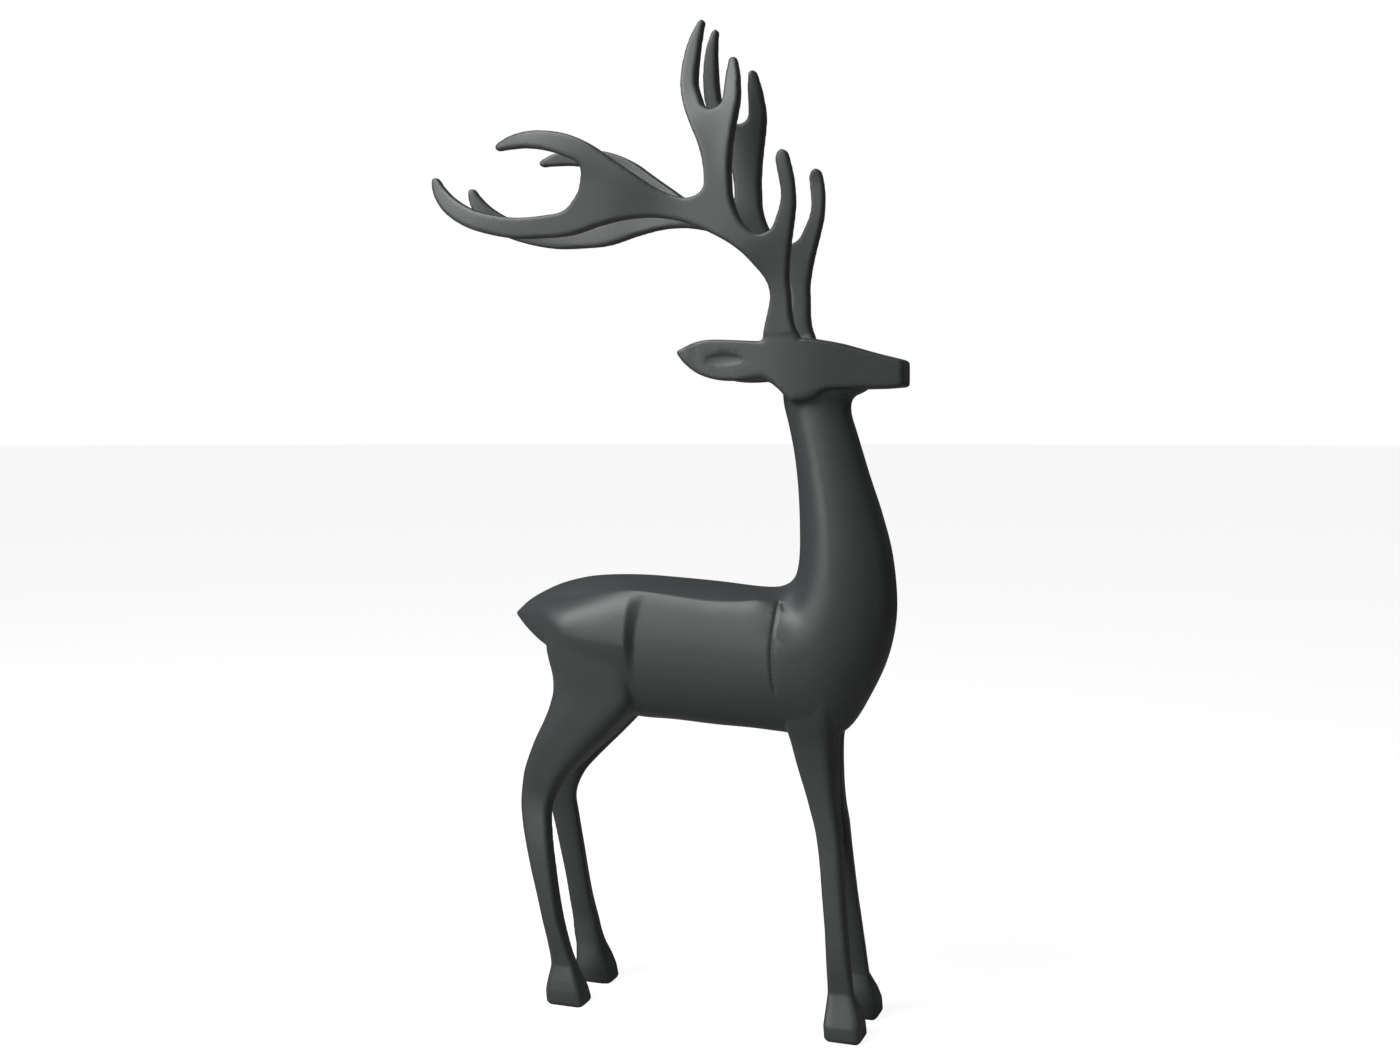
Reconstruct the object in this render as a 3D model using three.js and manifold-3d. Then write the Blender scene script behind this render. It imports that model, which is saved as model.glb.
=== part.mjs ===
// A standing stag, cast in one piece, in millimetres with +Z up. It faces +X, stands on four
// flat soles at z = 0, and is the same on both sides of the plane y = 0.
import * as THREE from "three";
import { mergeVertices } from "three/addons/utils/BufferGeometryUtils.js";
import Module from "manifold-3d";

// Driving dimensions of the whole casting
const height = 500;
const headHalfWidth = 19.2; // at the antlers
const muzzleHalfWidth = 9.3;
const muzzleX = 123.66;
const antlerFootX = 72;
const headTaperBlend = 16; // the head begins to narrow this gently
const plateBevel = 1.1;
const headBevel = 1.8;
const earBevel = 1.3;
const earThickness = 6.4;
const earSpread = 16;
const earTaper = 12; // length of the ear's thinner end
const earTipShare = 0.45; // thickness of the tip as a share of the ear's
const earHollow = { x: 36.5, z: 332.8, length: 23, width: 7, depth: 1.4 };
const grooveDepth = 1.3;
const grooveHalfWidth = 1.4;
const finerStations = 5; // the first stations of a limb get a ring between them

// Body stations from the tail to the head. Each is a section that runs from a point on the
// back line to one on the belly line: back x, z, belly x, z, half width of the back band,
// where its edge lies (share of the depth), half width of the side, where that lies, and how
// much further the haunch stands out.
const bodyStations = [
  [-86.9, 201.4, -86.5, 200.2, 0.5, 0.45, 0.7, 0.6, 0.0],
  [-79.0, 208.2, -79.4, 193.6, 5.5, 0.27, 7.0, 0.55, 0.0],
  [-70.1, 213.4, -71.2, 187.2, 9.5, 0.225, 13.0, 0.52, 0.6],
  [-58.5, 218.4, -62.0, 180.6, 13.0, 0.185, 19.5, 0.48, 3.2],
  [-44.1, 222.0, -54.0, 162.5, 17.0, 0.15, 24.0, 0.45, 4.7],
  [-29.9, 223.4, -36.0, 153.4, 19.6, 0.115, 26.3, 0.45, 3.5],
  [-13.1, 223.7, -13.2, 150.2, 20.5, 0.084, 26.3, 0.45, 3.4],
  [6.3, 222.9, 6.2, 149.8, 20.5, 0.094, 26.6, 0.45, 3.4],
  [28.0, 221.6, 28.1, 148.6, 20.5, 0.107, 26.8, 0.45, 3.4],
  [44.1, 220.1, 45.3, 148.2, 20.0, 0.084, 27.0, 0.45, 0.0],
  [53.5, 219.6, 56.5, 147.6, 19.2, 0.064, 27.2, 0.45, 0.0],
  [60.0, 220.2, 68.0, 146.8, 18.2, 0.082, 27.4, 0.45, 0.0],
  [65.0, 222.2, 82.0, 145.2, 17.4, 0.12, 27.0, 0.44, 0.0],
  [68.2, 225.6, 95.6, 150.4, 16.5, 0.148, 26.2, 0.43, 0.0],
  [69.9, 230.6, 106.8, 168.0, 15.4, 0.146, 25.4, 0.435, 0.0],
  [70.7, 238.4, 115.3, 187.6, 13.8, 0.125, 24.2, 0.44, 0.0],
  [70.6, 248.6, 119.1, 209.5, 12.1, 0.117, 22.4, 0.44, 0.0],
  [70.1, 261.1, 117.1, 235.5, 10.3, 0.107, 20.0, 0.44, 0.0],
  [69.2, 273.5, 111.7, 256.9, 9.3, 0.103, 17.6, 0.44, 0.0],
  [67.4, 287.4, 105.5, 275.4, 8.3, 0.1, 15.4, 0.44, 0.0],
  [64.6, 300.9, 99.4, 295.0, 7.6, 0.09, 13.8, 0.44, 0.0],
  [62.4, 309.3, 95.8, 307.2, 7.2, 0.085, 13.2, 0.44, 0.0],
  [61.6, 314.0, 97.0, 314.2, 7.0, 0.085, 13.0, 0.44, 0.0],
  [61.4, 317.0, 103.5, 317.8, 7.0, 0.085, 13.0, 0.44, 0.0],
  [61.4, 323.0, 106.0, 323.0, 7.0, 0.085, 12.0, 0.44, 0.0],
];
const shoulderGroove = 11; // the station that the groove follows
const grooveEnd = 0.85; // share of the depth
const grooveFade = 0.25;
const backCrown = [0.55, 0.32]; // a point on the back's curve, as shares of band width and depth
const haunchEdgeX = -12.6; // the haunch ends in a slanted step: its crisp upper edge
const haunchFootX = -8.8; // the step's foot, which curves forward above a height
const haunchFootZ = 185;
const haunchFootCurve = 0.0045;
const haunchLean = 0.18; // how fast its lower part draws in
const haunchLow = [0.5, 0.8]; // shares of the depth between which the haunch gives way to the leg
const haunchRear = [-58, -46]; // x between which its lower part begins
const haunchSteps = [6.02, 6.2, 6.36]; // further places of rings, at the haunch's step
const neckStart = 16; // from this station on, one ring at each is enough
const upperSideStart = THREE.MathUtils.degToRad(38); // slope of the side at the band's edge
const bellyFullness = 0.86; // below 1 is fuller than an ellipse

// Limb stations, top to bottom: rear x, z, front x, z, outer half width, inner half width,
// squareness of the rear and of the front (2 is an ellipse), and how much further back and
// forward the inner face reaches than the outer one
const hindStations = [
  [-55.0, 201.0, -16.0, 201.0, 27.0, 2.0, 2.2, 5.0, 0.0, 0.0],
  [-60.4, 194.5, -14.0, 194.5, 28.7, -0.8, 2.2, 6.0, 0.0, 0.0],
  [-61.8, 188.0, -12.8, 188.0, 28.5, -0.8, 2.3, 6.5, 0.0, 0.0],
  [-60.4, 179.5, -12.4, 178.5, 27.5, -0.8, 2.4, 6.5, 0.0, 0.0],
  [-58.3, 171.5, -12.2, 169.0, 26.4, -0.8, 2.6, 6.5, 0.0, 0.0],
  [-58.0, 163.5, -12.2, 161.5, 25.4, -0.8, 2.9, 6.0, 0.0, 1.6],
  [-59.3, 157.5, -17.2, 154.2, 24.8, -0.8, 3.2, 5.0, 0.0, 3.8],
  [-61.2, 152.0, -24.2, 147.2, 24.3, -0.8, 3.4, 4.6, 0.0, 4.8],
  [-64.0, 145.6, -32.4, 139.0, 23.6, 1.2, 3.6, 4.4, 0.0, 4.8],
  [-67.4, 138.5, -41.0, 130.8, 22.8, 4.4, 3.9, 4.4, 0.0, 4.4],
  [-70.7, 130.5, -49.0, 122.8, 21.8, 7.4, 4.2, 4.6, 0.0, 3.8],
  [-73.9, 121.0, -55.2, 115.6, 20.9, 9.8, 4.7, 5.0, 0.0, 3.0],
  [-75.5, 111.5, -59.4, 107.2, 19.9, 11.6, 5.2, 5.5, 0.0, 2.0],
  [-75.8, 103.0, -61.0, 100.0, 20.2, 12.8, 5.6, 6.0, 0.0, 1.6],
  [-74.2, 92.5, -60.3, 92.0, 21.4, 14.2, 6.0, 6.0, 0.2, 1.4],
  [-71.7, 82.0, -59.1, 82.0, 22.7, 14.9, 6.0, 6.0, 0.6, 1.2],
  [-68.4, 69.2, -57.3, 69.5, 23.6, 15.3, 6.0, 6.0, 1.3, 1.2],
  [-64.8, 56.6, -55.3, 56.5, 24.1, 15.6, 6.0, 6.0, 2.4, 1.2],
  [-61.5, 43.9, -52.9, 44.0, 24.5, 15.5, 6.0, 6.0, 3.5, 1.1],
  [-58.7, 33.6, -49.7, 33.6, 24.1, 15.6, 6.0, 6.0, 4.6, 0.6],
  [-57.2, 26.0, -47.3, 26.2, 23.4, 14.8, 6.0, 6.0, 5.0, 0.0],
  [-57.0, 20.0, -44.9, 20.6, 23.2, 14.0, 6.0, 6.0, 3.6, -0.6],
];
const frontStations = [
  [70.0, 200.0, 100.0, 200.0, 22.0, -0.8, 3.0, 2.2, 0.0, 0.0],
  [67.5, 188.0, 99.0, 188.0, 24.6, -0.8, 3.5, 2.4, 0.0, 0.0],
  [66.4, 176.0, 97.0, 176.0, 24.4, -0.8, 4.0, 2.6, 0.0, 0.0],
  [66.8, 164.0, 94.0, 164.0, 22.6, -0.8, 4.5, 3.2, 0.0, 0.0],
  [67.8, 152.5, 90.8, 153.0, 19.6, -0.8, 5.0, 4.0, 0.0, 3.2],
  [69.7, 144.5, 89.7, 144.5, 16.9, -0.8, 5.5, 4.6, 0.0, 3.4],
  [71.5, 136.8, 89.8, 136.5, 15.4, -0.6, 6.0, 5.0, 0.0, 3.0],
  [73.6, 129.0, 90.3, 128.8, 14.5, -0.5, 6.0, 5.0, 0.0, 2.4],
  [76.4, 120.0, 91.0, 120.0, 13.9, -0.4, 6.0, 5.0, 0.0, 1.6],
  [79.3, 110.0, 92.1, 110.0, 13.6, 1.6, 6.0, 5.5, 0.0, 1.2],
  [81.8, 101.0, 93.6, 101.0, 13.7, 3.3, 6.0, 6.0, 0.0, 1.2],
  [83.5, 91.5, 94.5, 91.5, 14.0, 4.7, 6.0, 6.0, 0.0, 1.2],
  [84.8, 82.0, 95.4, 82.0, 14.8, 6.0, 6.0, 6.0, 0.0, 1.1],
  [85.9, 72.0, 96.4, 72.0, 15.7, 7.3, 6.0, 6.0, 0.2, 1.1],
  [87.2, 62.0, 97.4, 62.0, 16.9, 8.9, 6.0, 6.0, 0.5, 1.0],
  [88.4, 52.5, 98.6, 52.5, 17.9, 10.3, 6.0, 6.0, 0.8, 0.9],
  [89.3, 42.5, 99.8, 42.5, 19.0, 11.4, 6.0, 6.0, 1.0, 0.8],
  [89.9, 34.0, 101.0, 34.0, 19.5, 12.2, 6.0, 6.0, 1.0, 0.6],
  [90.3, 27.0, 102.1, 27.0, 19.3, 12.6, 6.0, 6.0, 0.8, 0.3],
  [90.4, 21.8, 103.0, 21.8, 19.2, 12.5, 6.0, 6.0, 0.4, 0.0],
];
// Hoof stations, ankle to sole, in the limbs' own terms
const hindHoof = [
  [-57.0, 20.0, -44.9, 20.6, 23.2, 14.0, 6.0, 6.0, 3.6, -0.6],
  [-59.1, 12.4, -41.4, 13.4, 25.1, 12.2, 6.0, 6.0, 0.4, -1.4],
  [-59.9, 7.6, -39.5, 8.0, 26.0, 11.2, 6.0, 6.0, 0.0, -0.6],
  [-59.4, 1.6, -38.3, 1.6, 26.2, 10.9, 6.0, 6.0, 0.0, 0.0],
  [-58.4, 0.0, -39.3, 0.0, 25.2, 11.9, 6.0, 6.0, 0.0, 0.0],
];
const frontHoof = [
  [90.4, 21.8, 103.0, 21.8, 19.2, 12.5, 6.0, 6.0, 0.4, 0.0],
  [89.7, 13.2, 106.9, 14.0, 22.9, 9.8, 6.0, 6.0, 0.0, -0.6],
  [89.4, 7.4, 108.5, 8.0, 25.8, 8.5, 6.0, 6.0, 0.0, -0.4],
  [90.0, 1.6, 108.9, 1.6, 26.4, 8.1, 6.0, 6.0, 0.0, 0.0],
  [91.0, 0.0, 107.9, 0.0, 25.4, 9.1, 6.0, 6.0, 0.0, 0.0],
];

// Antler limbs as knots on their middle lines: x, z, width in the plate's own plane, how far
// the plate's middle stands from y = 0 there, and its thickness. Each limb runs to its tip.
const foot = [
  [65.3, 334.0, 20.3, 15.4, 7.2],
  [64.9, 342.5, 17.9, 15.5, 7.2],
  [64.3, 350.6, 13.1, 16.2, 7.0],
  [65.1, 362.5, 9.3, 17.6, 6.6],
];
const rearTine = [
  [-43.5, 402.6, 12.2, 24.5, 7.4],
  [-58.0, 400.8, 10.4, 24.7, 7.2],
  [-74.0, 400.9, 9.8, 25.0, 7.0],
  [-90.6, 404.0, 9.5, 24.8, 6.8],
  [-102.5, 408.3, 9.3, 23.4, 6.4],
  [-113.4, 415.2, 8.6, 21.2, 5.6],
  [-119.3, 422.0, 6.8, 20.3, 4.8],
  [-121.2, 426.0, 4.9, 20.0, 4.4],
  [-122.3, 429.0, 0.0, 20.0, 4.2],
];
const crestTine = [
  [-32.3, 434.2, 11.6, 29.6, 7.4],
  [-43.0, 439.9, 10.4, 29.8, 7.2],
  [-55.0, 443.1, 9.0, 29.5, 6.8],
  [-66.5, 444.1, 7.5, 28.6, 6.2],
  [-76.0, 443.2, 5.8, 26.8, 5.2],
  [-80.6, 442.1, 4.0, 26.2, 4.6],
  [-83.4, 441.3, 0.0, 26.0, 4.2],
];
const upright = [
  [35.1, 420.2, 12.7, 23.6, 8.0],
  [34.6, 429.5, 13.8, 23.4, 8.2],
  [33.8, 438.5, 17.2, 22.7, 8.4],
  [32.7, 447.5, 22.8, 21.8, 8.4],
];
const highTine = [
  [20.8, 458.4, 8.5, 18.8, 8.2],
  [18.2, 467.0, 7.5, 17.5, 8.0],
  [17.9, 476.5, 7.1, 15.2, 7.4],
  [18.7, 485.5, 6.4, 13.2, 6.4],
  [20.0, 492.6, 4.9, 11.5, 5.5],
  [21.3, 496.9, 3.4, 10.6, 4.8],
  [22.4, height, 0.0, 10.0, 4.4],
];
const secondTine = [
  [40.9, 457.5, 8.1, 20.8, 7.8],
  [41.0, 465.2, 7.0, 19.2, 7.3],
  [40.6, 471.5, 6.0, 17.0, 6.5],
  [40.2, 476.2, 4.4, 15.9, 5.3],
  [40.0, 479.6, 0.0, 15.4, 4.6],
];
const browTine = [
  [69.4, 399.3, 8.0, 24.2, 6.6],
  [71.3, 406.9, 6.6, 25.6, 6.2],
  [71.5, 413.5, 6.3, 27.0, 5.8],
  [70.7, 420.5, 6.6, 28.6, 5.4],
  [69.6, 426.6, 6.2, 29.8, 5.0],
  [69.2, 431.0, 0.0, 30.4, 4.8],
];
// Marks on the outline between the limbs: x, z, spread and thickness
const beamUnderside = [
  [58.9, 370.0, 18.6, 6.8],
  [52.6, 378.6, 21.2, 7.0],
  [44.6, 386.4, 23.2, 7.2],
  [33.0, 393.4, 23.6, 7.4],
  [18.2, 399.8, 22.6, 7.6],
  [3.0, 403.2, 21.2, 7.6],
  [-12.0, 403.2, 22.4, 7.6],
  [-26.0, 400.7, 23.8, 7.5],
];
const crest = [
  [-20.5, 433.2, 29.0, 7.6],
  [-8.0, 424.6, 27.2, 7.6],
  [3.5, 417.0, 24.6, 7.6],
  [12.5, 413.1, 23.4, 7.6],
];
const browRoot = [
  [72.2, 392.0, 22.6, 6.6],
  [70.5, 382.5, 20.8, 6.6],
  [69.5, 372.5, 19.0, 6.6],
];
const rearFork = [
  [-30.7, 425.4, 27.0, 7.4],
  [-29.9, 420.5, 26.4, 7.4],
  [-32.4, 415.6, 26.0, 7.4],
  [-38.2, 411.2, 25.3, 7.4],
];
const uprightHeel = [
  [20.0, 411.7, 23.4, 7.8],
  [25.6, 413.4, 23.5, 7.9],
  [28.3, 416.6, 23.6, 8.0],
];
const topFork = [
  [26.8, 456.2, 20.8, 8.2],
  [31.3, 454.2, 20.8, 8.2],
  [35.6, 455.8, 20.8, 8.0],
];
const browFork = [
  [42.3, 411.5, 23.9, 8.0],
  [44.5, 404.2, 23.9, 7.8],
  [48.6, 397.2, 23.8, 7.4],
  [56.3, 392.4, 23.6, 7.2],
  [62.4, 394.8, 23.8, 6.8],
];
const tipCap = 0.7; // share of a tine's last length where its round end has a point
const facetsPerKnot = 2;
const blendReach = 16; // how softly the plate bends from one knot to the next
const blendPower = -4; // how fast a knot's weight falls off
const footTop = 344; // up to here the antler's outer face is in line with the head's side
const footEase = 0.3; // how fast it may leave that line further up
const tipReach = 8; // the bevel narrows this close to a tip
const tipBevel = 0.3; // share of the bevel left at a tip
const sharpestLean = 0.6; // keeps the rim whole at sharp corners

// Head and ear as seen from the side
const headTop = [[58, 341.6], [78, 343.2], [89.7, 341.2], [108.3, 335.9], [121.8, 332.5]];
const muzzleEnd = [[123.2, 331.8], [muzzleX, 330.6], [muzzleX, 320.6], [123.2, 319.5]];
const headJaw = [[121.8, 319.1], [113, 318.5], [90, 318.3], [85.6, 317.3], [80.6, 313.2]];
const headRear = [[70, 311.2], [67, 314.4], [64.2, 317.6], [60.6, 320.8], [55.6, 323], [52, 332]];
const earTop = [[58, 342], [53, 341.9], [39.8, 342.6], [27.5, 342.9], [19, 341.3]];
const earTip = [10.2, 337.4];
const earUnder = [[14, 332.2], [21.6, 326.6], [31.5, 323.2], [42, 322.5], [58, 323.6]];

const wasm = await Module();
wasm.setup();

// Smooth value between the rows of a table, at a place t counted in rows
function rowAt(rows, t) {
  const last = rows.length - 1;
  const i = Math.min(Math.floor(t), last - 1);
  const f = t - i;
  const pick = (k) => rows[Math.min(Math.max(k, 0), last)];
  return rows[0].map((_, c) => {
    const [p, q, r, s] = [pick(i - 1)[c], pick(i)[c], pick(i + 1)[c], pick(i + 2)[c]];
    const slopeQ = (r - p) / 2;
    const slopeR = (s - q) / 2;
    const f2 = f * f;
    const f3 = f2 * f;
    return (
      (2 * f3 - 3 * f2 + 1) * q + (f3 - 2 * f2 + f) * slopeQ +
      (3 * f2 - 2 * f3) * r + (f3 - f2) * slopeR
    );
  });
}

// A closed skin over a row of rings that all have the same number of points
function skin(rings) {
  const count = rings[0].length;
  const points = rings.flat();
  const index = [];
  for (let i = 0; i < rings.length - 1; i++) {
    for (let j = 0; j < count; j++) {
      const a = i * count + j;
      const b = i * count + ((j + 1) % count);
      index.push(a, b, b + count, a, b + count, a + count);
    }
  }
  for (const [end, flip] of [[0, true], [rings.length - 1, false]]) {
    const middle = new THREE.Vector3();
    rings[end].forEach((p) => middle.addScaledVector(p, 1 / count));
    points.push(middle);
    const hub = points.length - 1;
    for (let j = 0; j < count; j++) {
      const a = end * count + j;
      const b = end * count + ((j + 1) % count);
      index.push(...(flip ? [hub, b, a] : [hub, a, b]));
    }
  }
  const geometry = new THREE.BufferGeometry().setFromPoints(points);
  geometry.setIndex(index);
  return geometry;
}

// A solid from a closed geometry, turned right side out if its faces point inwards
function solid(geometry) {
  const bare = geometry.clone();
  bare.deleteAttribute("normal");
  bare.deleteAttribute("uv");
  const merged = mergeVertices(bare, 1e-4);
  const at = merged.attributes.position.array;
  const tri = Uint32Array.from(merged.index.array);
  let volume = 0;
  for (let k = 0; k < tri.length; k += 3) {
    const [a, b, c] = [0, 1, 2].map((n) => new THREE.Vector3().fromArray(at, tri[k + n] * 3));
    volume += a.dot(b.cross(c));
  }
  for (let k = 0; volume < 0 && k < tri.length; k += 3) {
    [tri[k], tri[k + 1]] = [tri[k + 1], tri[k]];
  }
  const mesh = new wasm.Mesh({ numProp: 3, vertProperties: Float32Array.from(at), triVerts: tri });
  return new wasm.Manifold(mesh);
}

function mirrored(geometry) {
  return geometry.clone().scale(1, -1, 1);
}

function pair(geometry) {
  return solid(geometry).add(solid(mirrored(geometry)));
}

// The groove starts below the band's edge and fades out before it reaches the belly
function grooveShare(s, edge) {
  return s > edge + 0.01 ? THREE.MathUtils.clamp((grooveEnd - s) / grooveFade, 0, 1) : 0;
}

// 1 behind the haunch's front edge, falling to 0 at the foot of its slanted step
function haunchStep(x, z) {
  const foot = haunchFootX + haunchFootCurve * Math.max(z - haunchFootZ, 0) ** 2;
  return THREE.MathUtils.clamp((foot - x) / (foot - haunchEdgeX), 0, 1);
}

// Body and neck
function bodyRing(t, inset) {
  const [bx, bz, vx, vz, band, edge, side, full, haunch] = rowAt(bodyStations, t);
  const down = (s) => [bx + (vx - bx) * s, bz + (vz - bz) * s];
  const [crownOut, crownDown] = backCrown;
  const half = [[0, 0], [band * crownOut, edge * crownDown], [band, edge]];
  const start = Math.sin(upperSideStart);
  for (let k = 1; k <= 4; k++) {
    const a = upperSideStart + ((Math.PI / 2 - upperSideStart) * k) / 4;
    const out = (Math.sin(a) - start) / (1 - start);
    const s = edge + (full - edge) * (1 - Math.cos(a) / Math.cos(upperSideStart));
    const wide = side + haunch * haunchStep(...down(s));
    half.push([band + (wide - band) * out, s]);
  }
  for (let k = 1; k <= 5; k++) {
    const a = (Math.PI / 2) * (k / 6);
    const y = side * Math.cos(a) ** bellyFullness;
    const s = full + (1 - full) * Math.sin(a) ** bellyFullness;
    const [x, z] = down(s);
    const step = haunchStep(x, z) * (1 - THREE.MathUtils.smoothstep(s, ...haunchLow));
    const lean = haunchLean * (bz - vz) * (s - full);
    const further = haunch - lean + (side - y) * THREE.MathUtils.smoothstep(x, ...haunchRear);
    half.push([y + further * step, s]);
  }
  half.push([0, 1]);
  const wide = half.map(([y, s]) => y - inset * grooveShare(s, edge));
  const place = (y, s) => new THREE.Vector3(down(s)[0], y, down(s)[1]);
  const right = half.map(([, s], k) => place(-wide[k], s));
  const left = half.map(([, s], k) => place(wide[k], s)).slice(1, -1).reverse();
  return [...right, ...left];
}

function body() {
  const steps = haunchSteps.map((t) => [t, 0]);
  for (let t = 0; t < bodyStations.length - 1; t += t < neckStart ? 0.5 : 1) {
    if (Math.abs(t - shoulderGroove) > 0.3) steps.push([t, 0]);
  }
  const spacing = bodyStations[shoulderGroove][0] - bodyStations[shoulderGroove - 1][0];
  const reach = grooveHalfWidth / spacing;
  steps.push([shoulderGroove - reach, 0], [shoulderGroove, grooveDepth], [shoulderGroove + reach, 0]);
  steps.push([bodyStations.length - 1, 0]);
  steps.sort((a, b) => a[0] - b[0]);
  return skin(steps.map(([t, inset]) => bodyRing(t, inset)));
}

// A limb's ring: a rounded box whose rear and front halves have their own squareness
function limbRing([rx, rz, fx, fz, outer, inner, rear, front, back, ahead], count) {
  const ring = [];
  for (let k = 0; k < count; k++) {
    const a = (2 * Math.PI * (k + 0.5)) / count;
    const power = 2 / (Math.cos(a) < 0 ? rear : front);
    const along = 0.5 + 0.5 * Math.sign(Math.cos(a)) * Math.abs(Math.cos(a)) ** power;
    const across = 0.5 + 0.5 * Math.sign(Math.sin(a)) * Math.abs(Math.sin(a)) ** power;
    const y = outer + (inner - outer) * across;
    const x = rx + (fx - rx) * along + (ahead * along - back * (1 - along)) * across;
    ring.push(new THREE.Vector3(x, -y, rz + (fz - rz) * along));
  }
  return ring;
}

function limb(stations, hoof, count) {
  const rings = [];
  for (let t = 0; t < stations.length - 1; t++) {
    rings.push(limbRing(rowAt(stations, t), count));
    if (t < finerStations) rings.push(limbRing(rowAt(stations, t + 0.5), count));
  }
  hoof.forEach((row) => rings.push(limbRing(row, count)));
  return skin(rings);
}

// The way inwards from each point of a closed outline that runs anticlockwise, long enough to
// bring both of the point's edges in by one
function inwards(outline) {
  return outline.map((at, k) => {
    const before = outline.at(k - 1);
    const after = outline[(k + 1) % outline.length];
    const come = new THREE.Vector2(at[0] - before[0], at[1] - before[1]).normalize();
    const go = new THREE.Vector2(after[0] - at[0], after[1] - at[1]).normalize();
    const way = new THREE.Vector2(-come.y - go.y, come.x + go.x).normalize();
    const lean = come.x * way.y - come.y * way.x;
    return way.multiplyScalar(1 / Math.max(sharpestLean, lean));
  });
}

// A flat outline pushed out to a plate with a bevelled rim, then bent: place(x, z) gives how
// far its middle stands from y = 0, how thick it is there and how wide its bevel is
function bentPlate(outline, place) {
  if (THREE.ShapeUtils.isClockWise(outline.map(([x, z]) => new THREE.Vector2(x, z)))) {
    outline.reverse();
  }
  const ways = inwards(outline);
  const shape = new THREE.Shape(outline.map(([x, z]) => new THREE.Vector2(x, z)));
  const flat = new THREE.ExtrudeGeometry(shape, { depth: 3, steps: 3, bevelEnabled: false });
  const key = (x, z) => `${Math.fround(x)} ${Math.fround(z)}`;
  const wayAt = new Map(outline.map(([x, z], k) => [key(x, z), ways[k]]));
  const at = flat.attributes.position;
  for (let k = 0; k < at.count; k++) {
    const [x, z, layer] = [at.getX(k), at.getY(k), Math.round(at.getZ(k))];
    const { spread, thickness, bevel } = place(x, z);
    const rim = thickness / 2 - bevel;
    const out = [thickness / 2, rim, -rim, -thickness / 2][layer];
    const inset = layer === 0 || layer === 3 ? bevel : 0;
    const way = wayAt.get(key(x, z));
    at.setXYZ(k, x + way.x * inset, -(spread + out), z + way.y * inset);
  }
  return flat;
}

// A smooth open curve through the points, with so many facets from each to the next
function smooth(points, facets) {
  const curve = new THREE.CatmullRomCurve3(
    points.map(([x, z]) => new THREE.Vector3(x, 0, z)), false, "centripetal",
  );
  return curve.getPoints((points.length - 1) * facets).map((p) => [p.x, p.z]);
}

// The points at one side of a limb's knots, left or right of the way it runs. A tine ends in
// a round cap.
function edge(knots, side) {
  return knots.flatMap(([x, z, width], k) => {
    const before = knots[Math.max(k - 1, 0)];
    const after = knots[Math.min(k + 1, knots.length - 1)];
    const way = new THREE.Vector2(after[0] - before[0], after[1] - before[1]).normalize();
    const beside = (px, pz, half) => [px - way.y * side * half, pz + way.x * side * half];
    if (width > 0) return [beside(x, z, width / 2)];
    const half = (before[2] / 2) * Math.sqrt(1 - tipCap ** 2);
    const capX = THREE.MathUtils.lerp(before[0], x, tipCap);
    const capZ = THREE.MathUtils.lerp(before[1], z, tipCap);
    return [beside(capX, capZ, half), [x, z]];
  });
}

const LEFT = 1;
const RIGHT = -1;

function antlerOutline() {
  const up = (knots, side) => edge(knots, side);
  const down = (knots, side) => edge(knots, side).reverse();
  const runs = [
    [...up(foot, LEFT), ...beamUnderside, ...up(rearTine, LEFT)],
    [...down(rearTine, RIGHT), ...rearFork, ...up(crestTine, LEFT)],
    [...down(crestTine, RIGHT), ...crest, ...uprightHeel, ...up(upright, LEFT), ...up(highTine, LEFT)],
    [...down(highTine, RIGHT), ...topFork, ...up(secondTine, LEFT)],
    [...down(secondTine, RIGHT), ...down(upright.slice(0, 3), RIGHT), ...browFork, ...up(browTine, LEFT)],
    [...down(browTine, RIGHT), ...browRoot, ...down(foot, RIGHT)],
  ];
  return runs.flatMap((run) => smooth(run, facetsPerKnot).slice(0, -1));
}

// The plate's spread and thickness are blended from all the knots, weighted by nearness. At its
// foot the outer face is in line with the side of the head.
function antlerPlace(x, z) {
  const limbs = [foot, rearTine, crestTine, upright, highTine, secondTine, browTine];
  const forks = [...rearFork, ...uprightHeel, ...topFork, ...browFork];
  const marks = [...beamUnderside, ...crest, ...browRoot, ...forks];
  const knots = [...limbs.flat().map(([kx, kz, , ...rest]) => [kx, kz, ...rest]), ...marks];
  let [total, spread, thickness] = [0, 0, 0];
  for (const [kx, kz, far, thick] of knots) {
    const weight = ((kx - x) ** 2 + (kz - z) ** 2 + blendReach ** 2) ** blendPower;
    total += weight;
    spread += weight * far;
    thickness += weight * thick;
  }
  const tips = [rearTine, crestTine, highTine, secondTine, browTine].map((knot) => knot.at(-1));
  const near = Math.min(...tips.map(([tx, tz]) => Math.hypot(tx - x, tz - z)));
  const whole = THREE.MathUtils.smoothstep(near, 0, tipReach);
  const bevel = plateBevel * (tipBevel + (1 - tipBevel) * whole);
  thickness /= total;
  const inLine = headWidthAt(x) - thickness / 2 + Math.max(z - footTop, 0) * footEase;
  return { spread: Math.min(spread / total, inLine), thickness, bevel };
}

function antler() {
  return bentPlate(antlerOutline(), antlerPlace);
}

// The head's sides are flat and close in on the muzzle
function headWidthAt(x) {
  const past = x - antlerFootX;
  const eased = Math.max(past + headTaperBlend, 0) ** 2 / (4 * headTaperBlend);
  const share = (past > headTaperBlend ? past : eased) / (muzzleX - antlerFootX);
  return headHalfWidth + (muzzleHalfWidth - headHalfWidth) * share;
}

function head() {
  const outline = [...headTop, ...muzzleEnd, ...headJaw, ...headRear];
  return bentPlate(outline, (x) => ({ spread: 0, thickness: 2 * headWidthAt(x), bevel: headBevel }));
}

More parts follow.
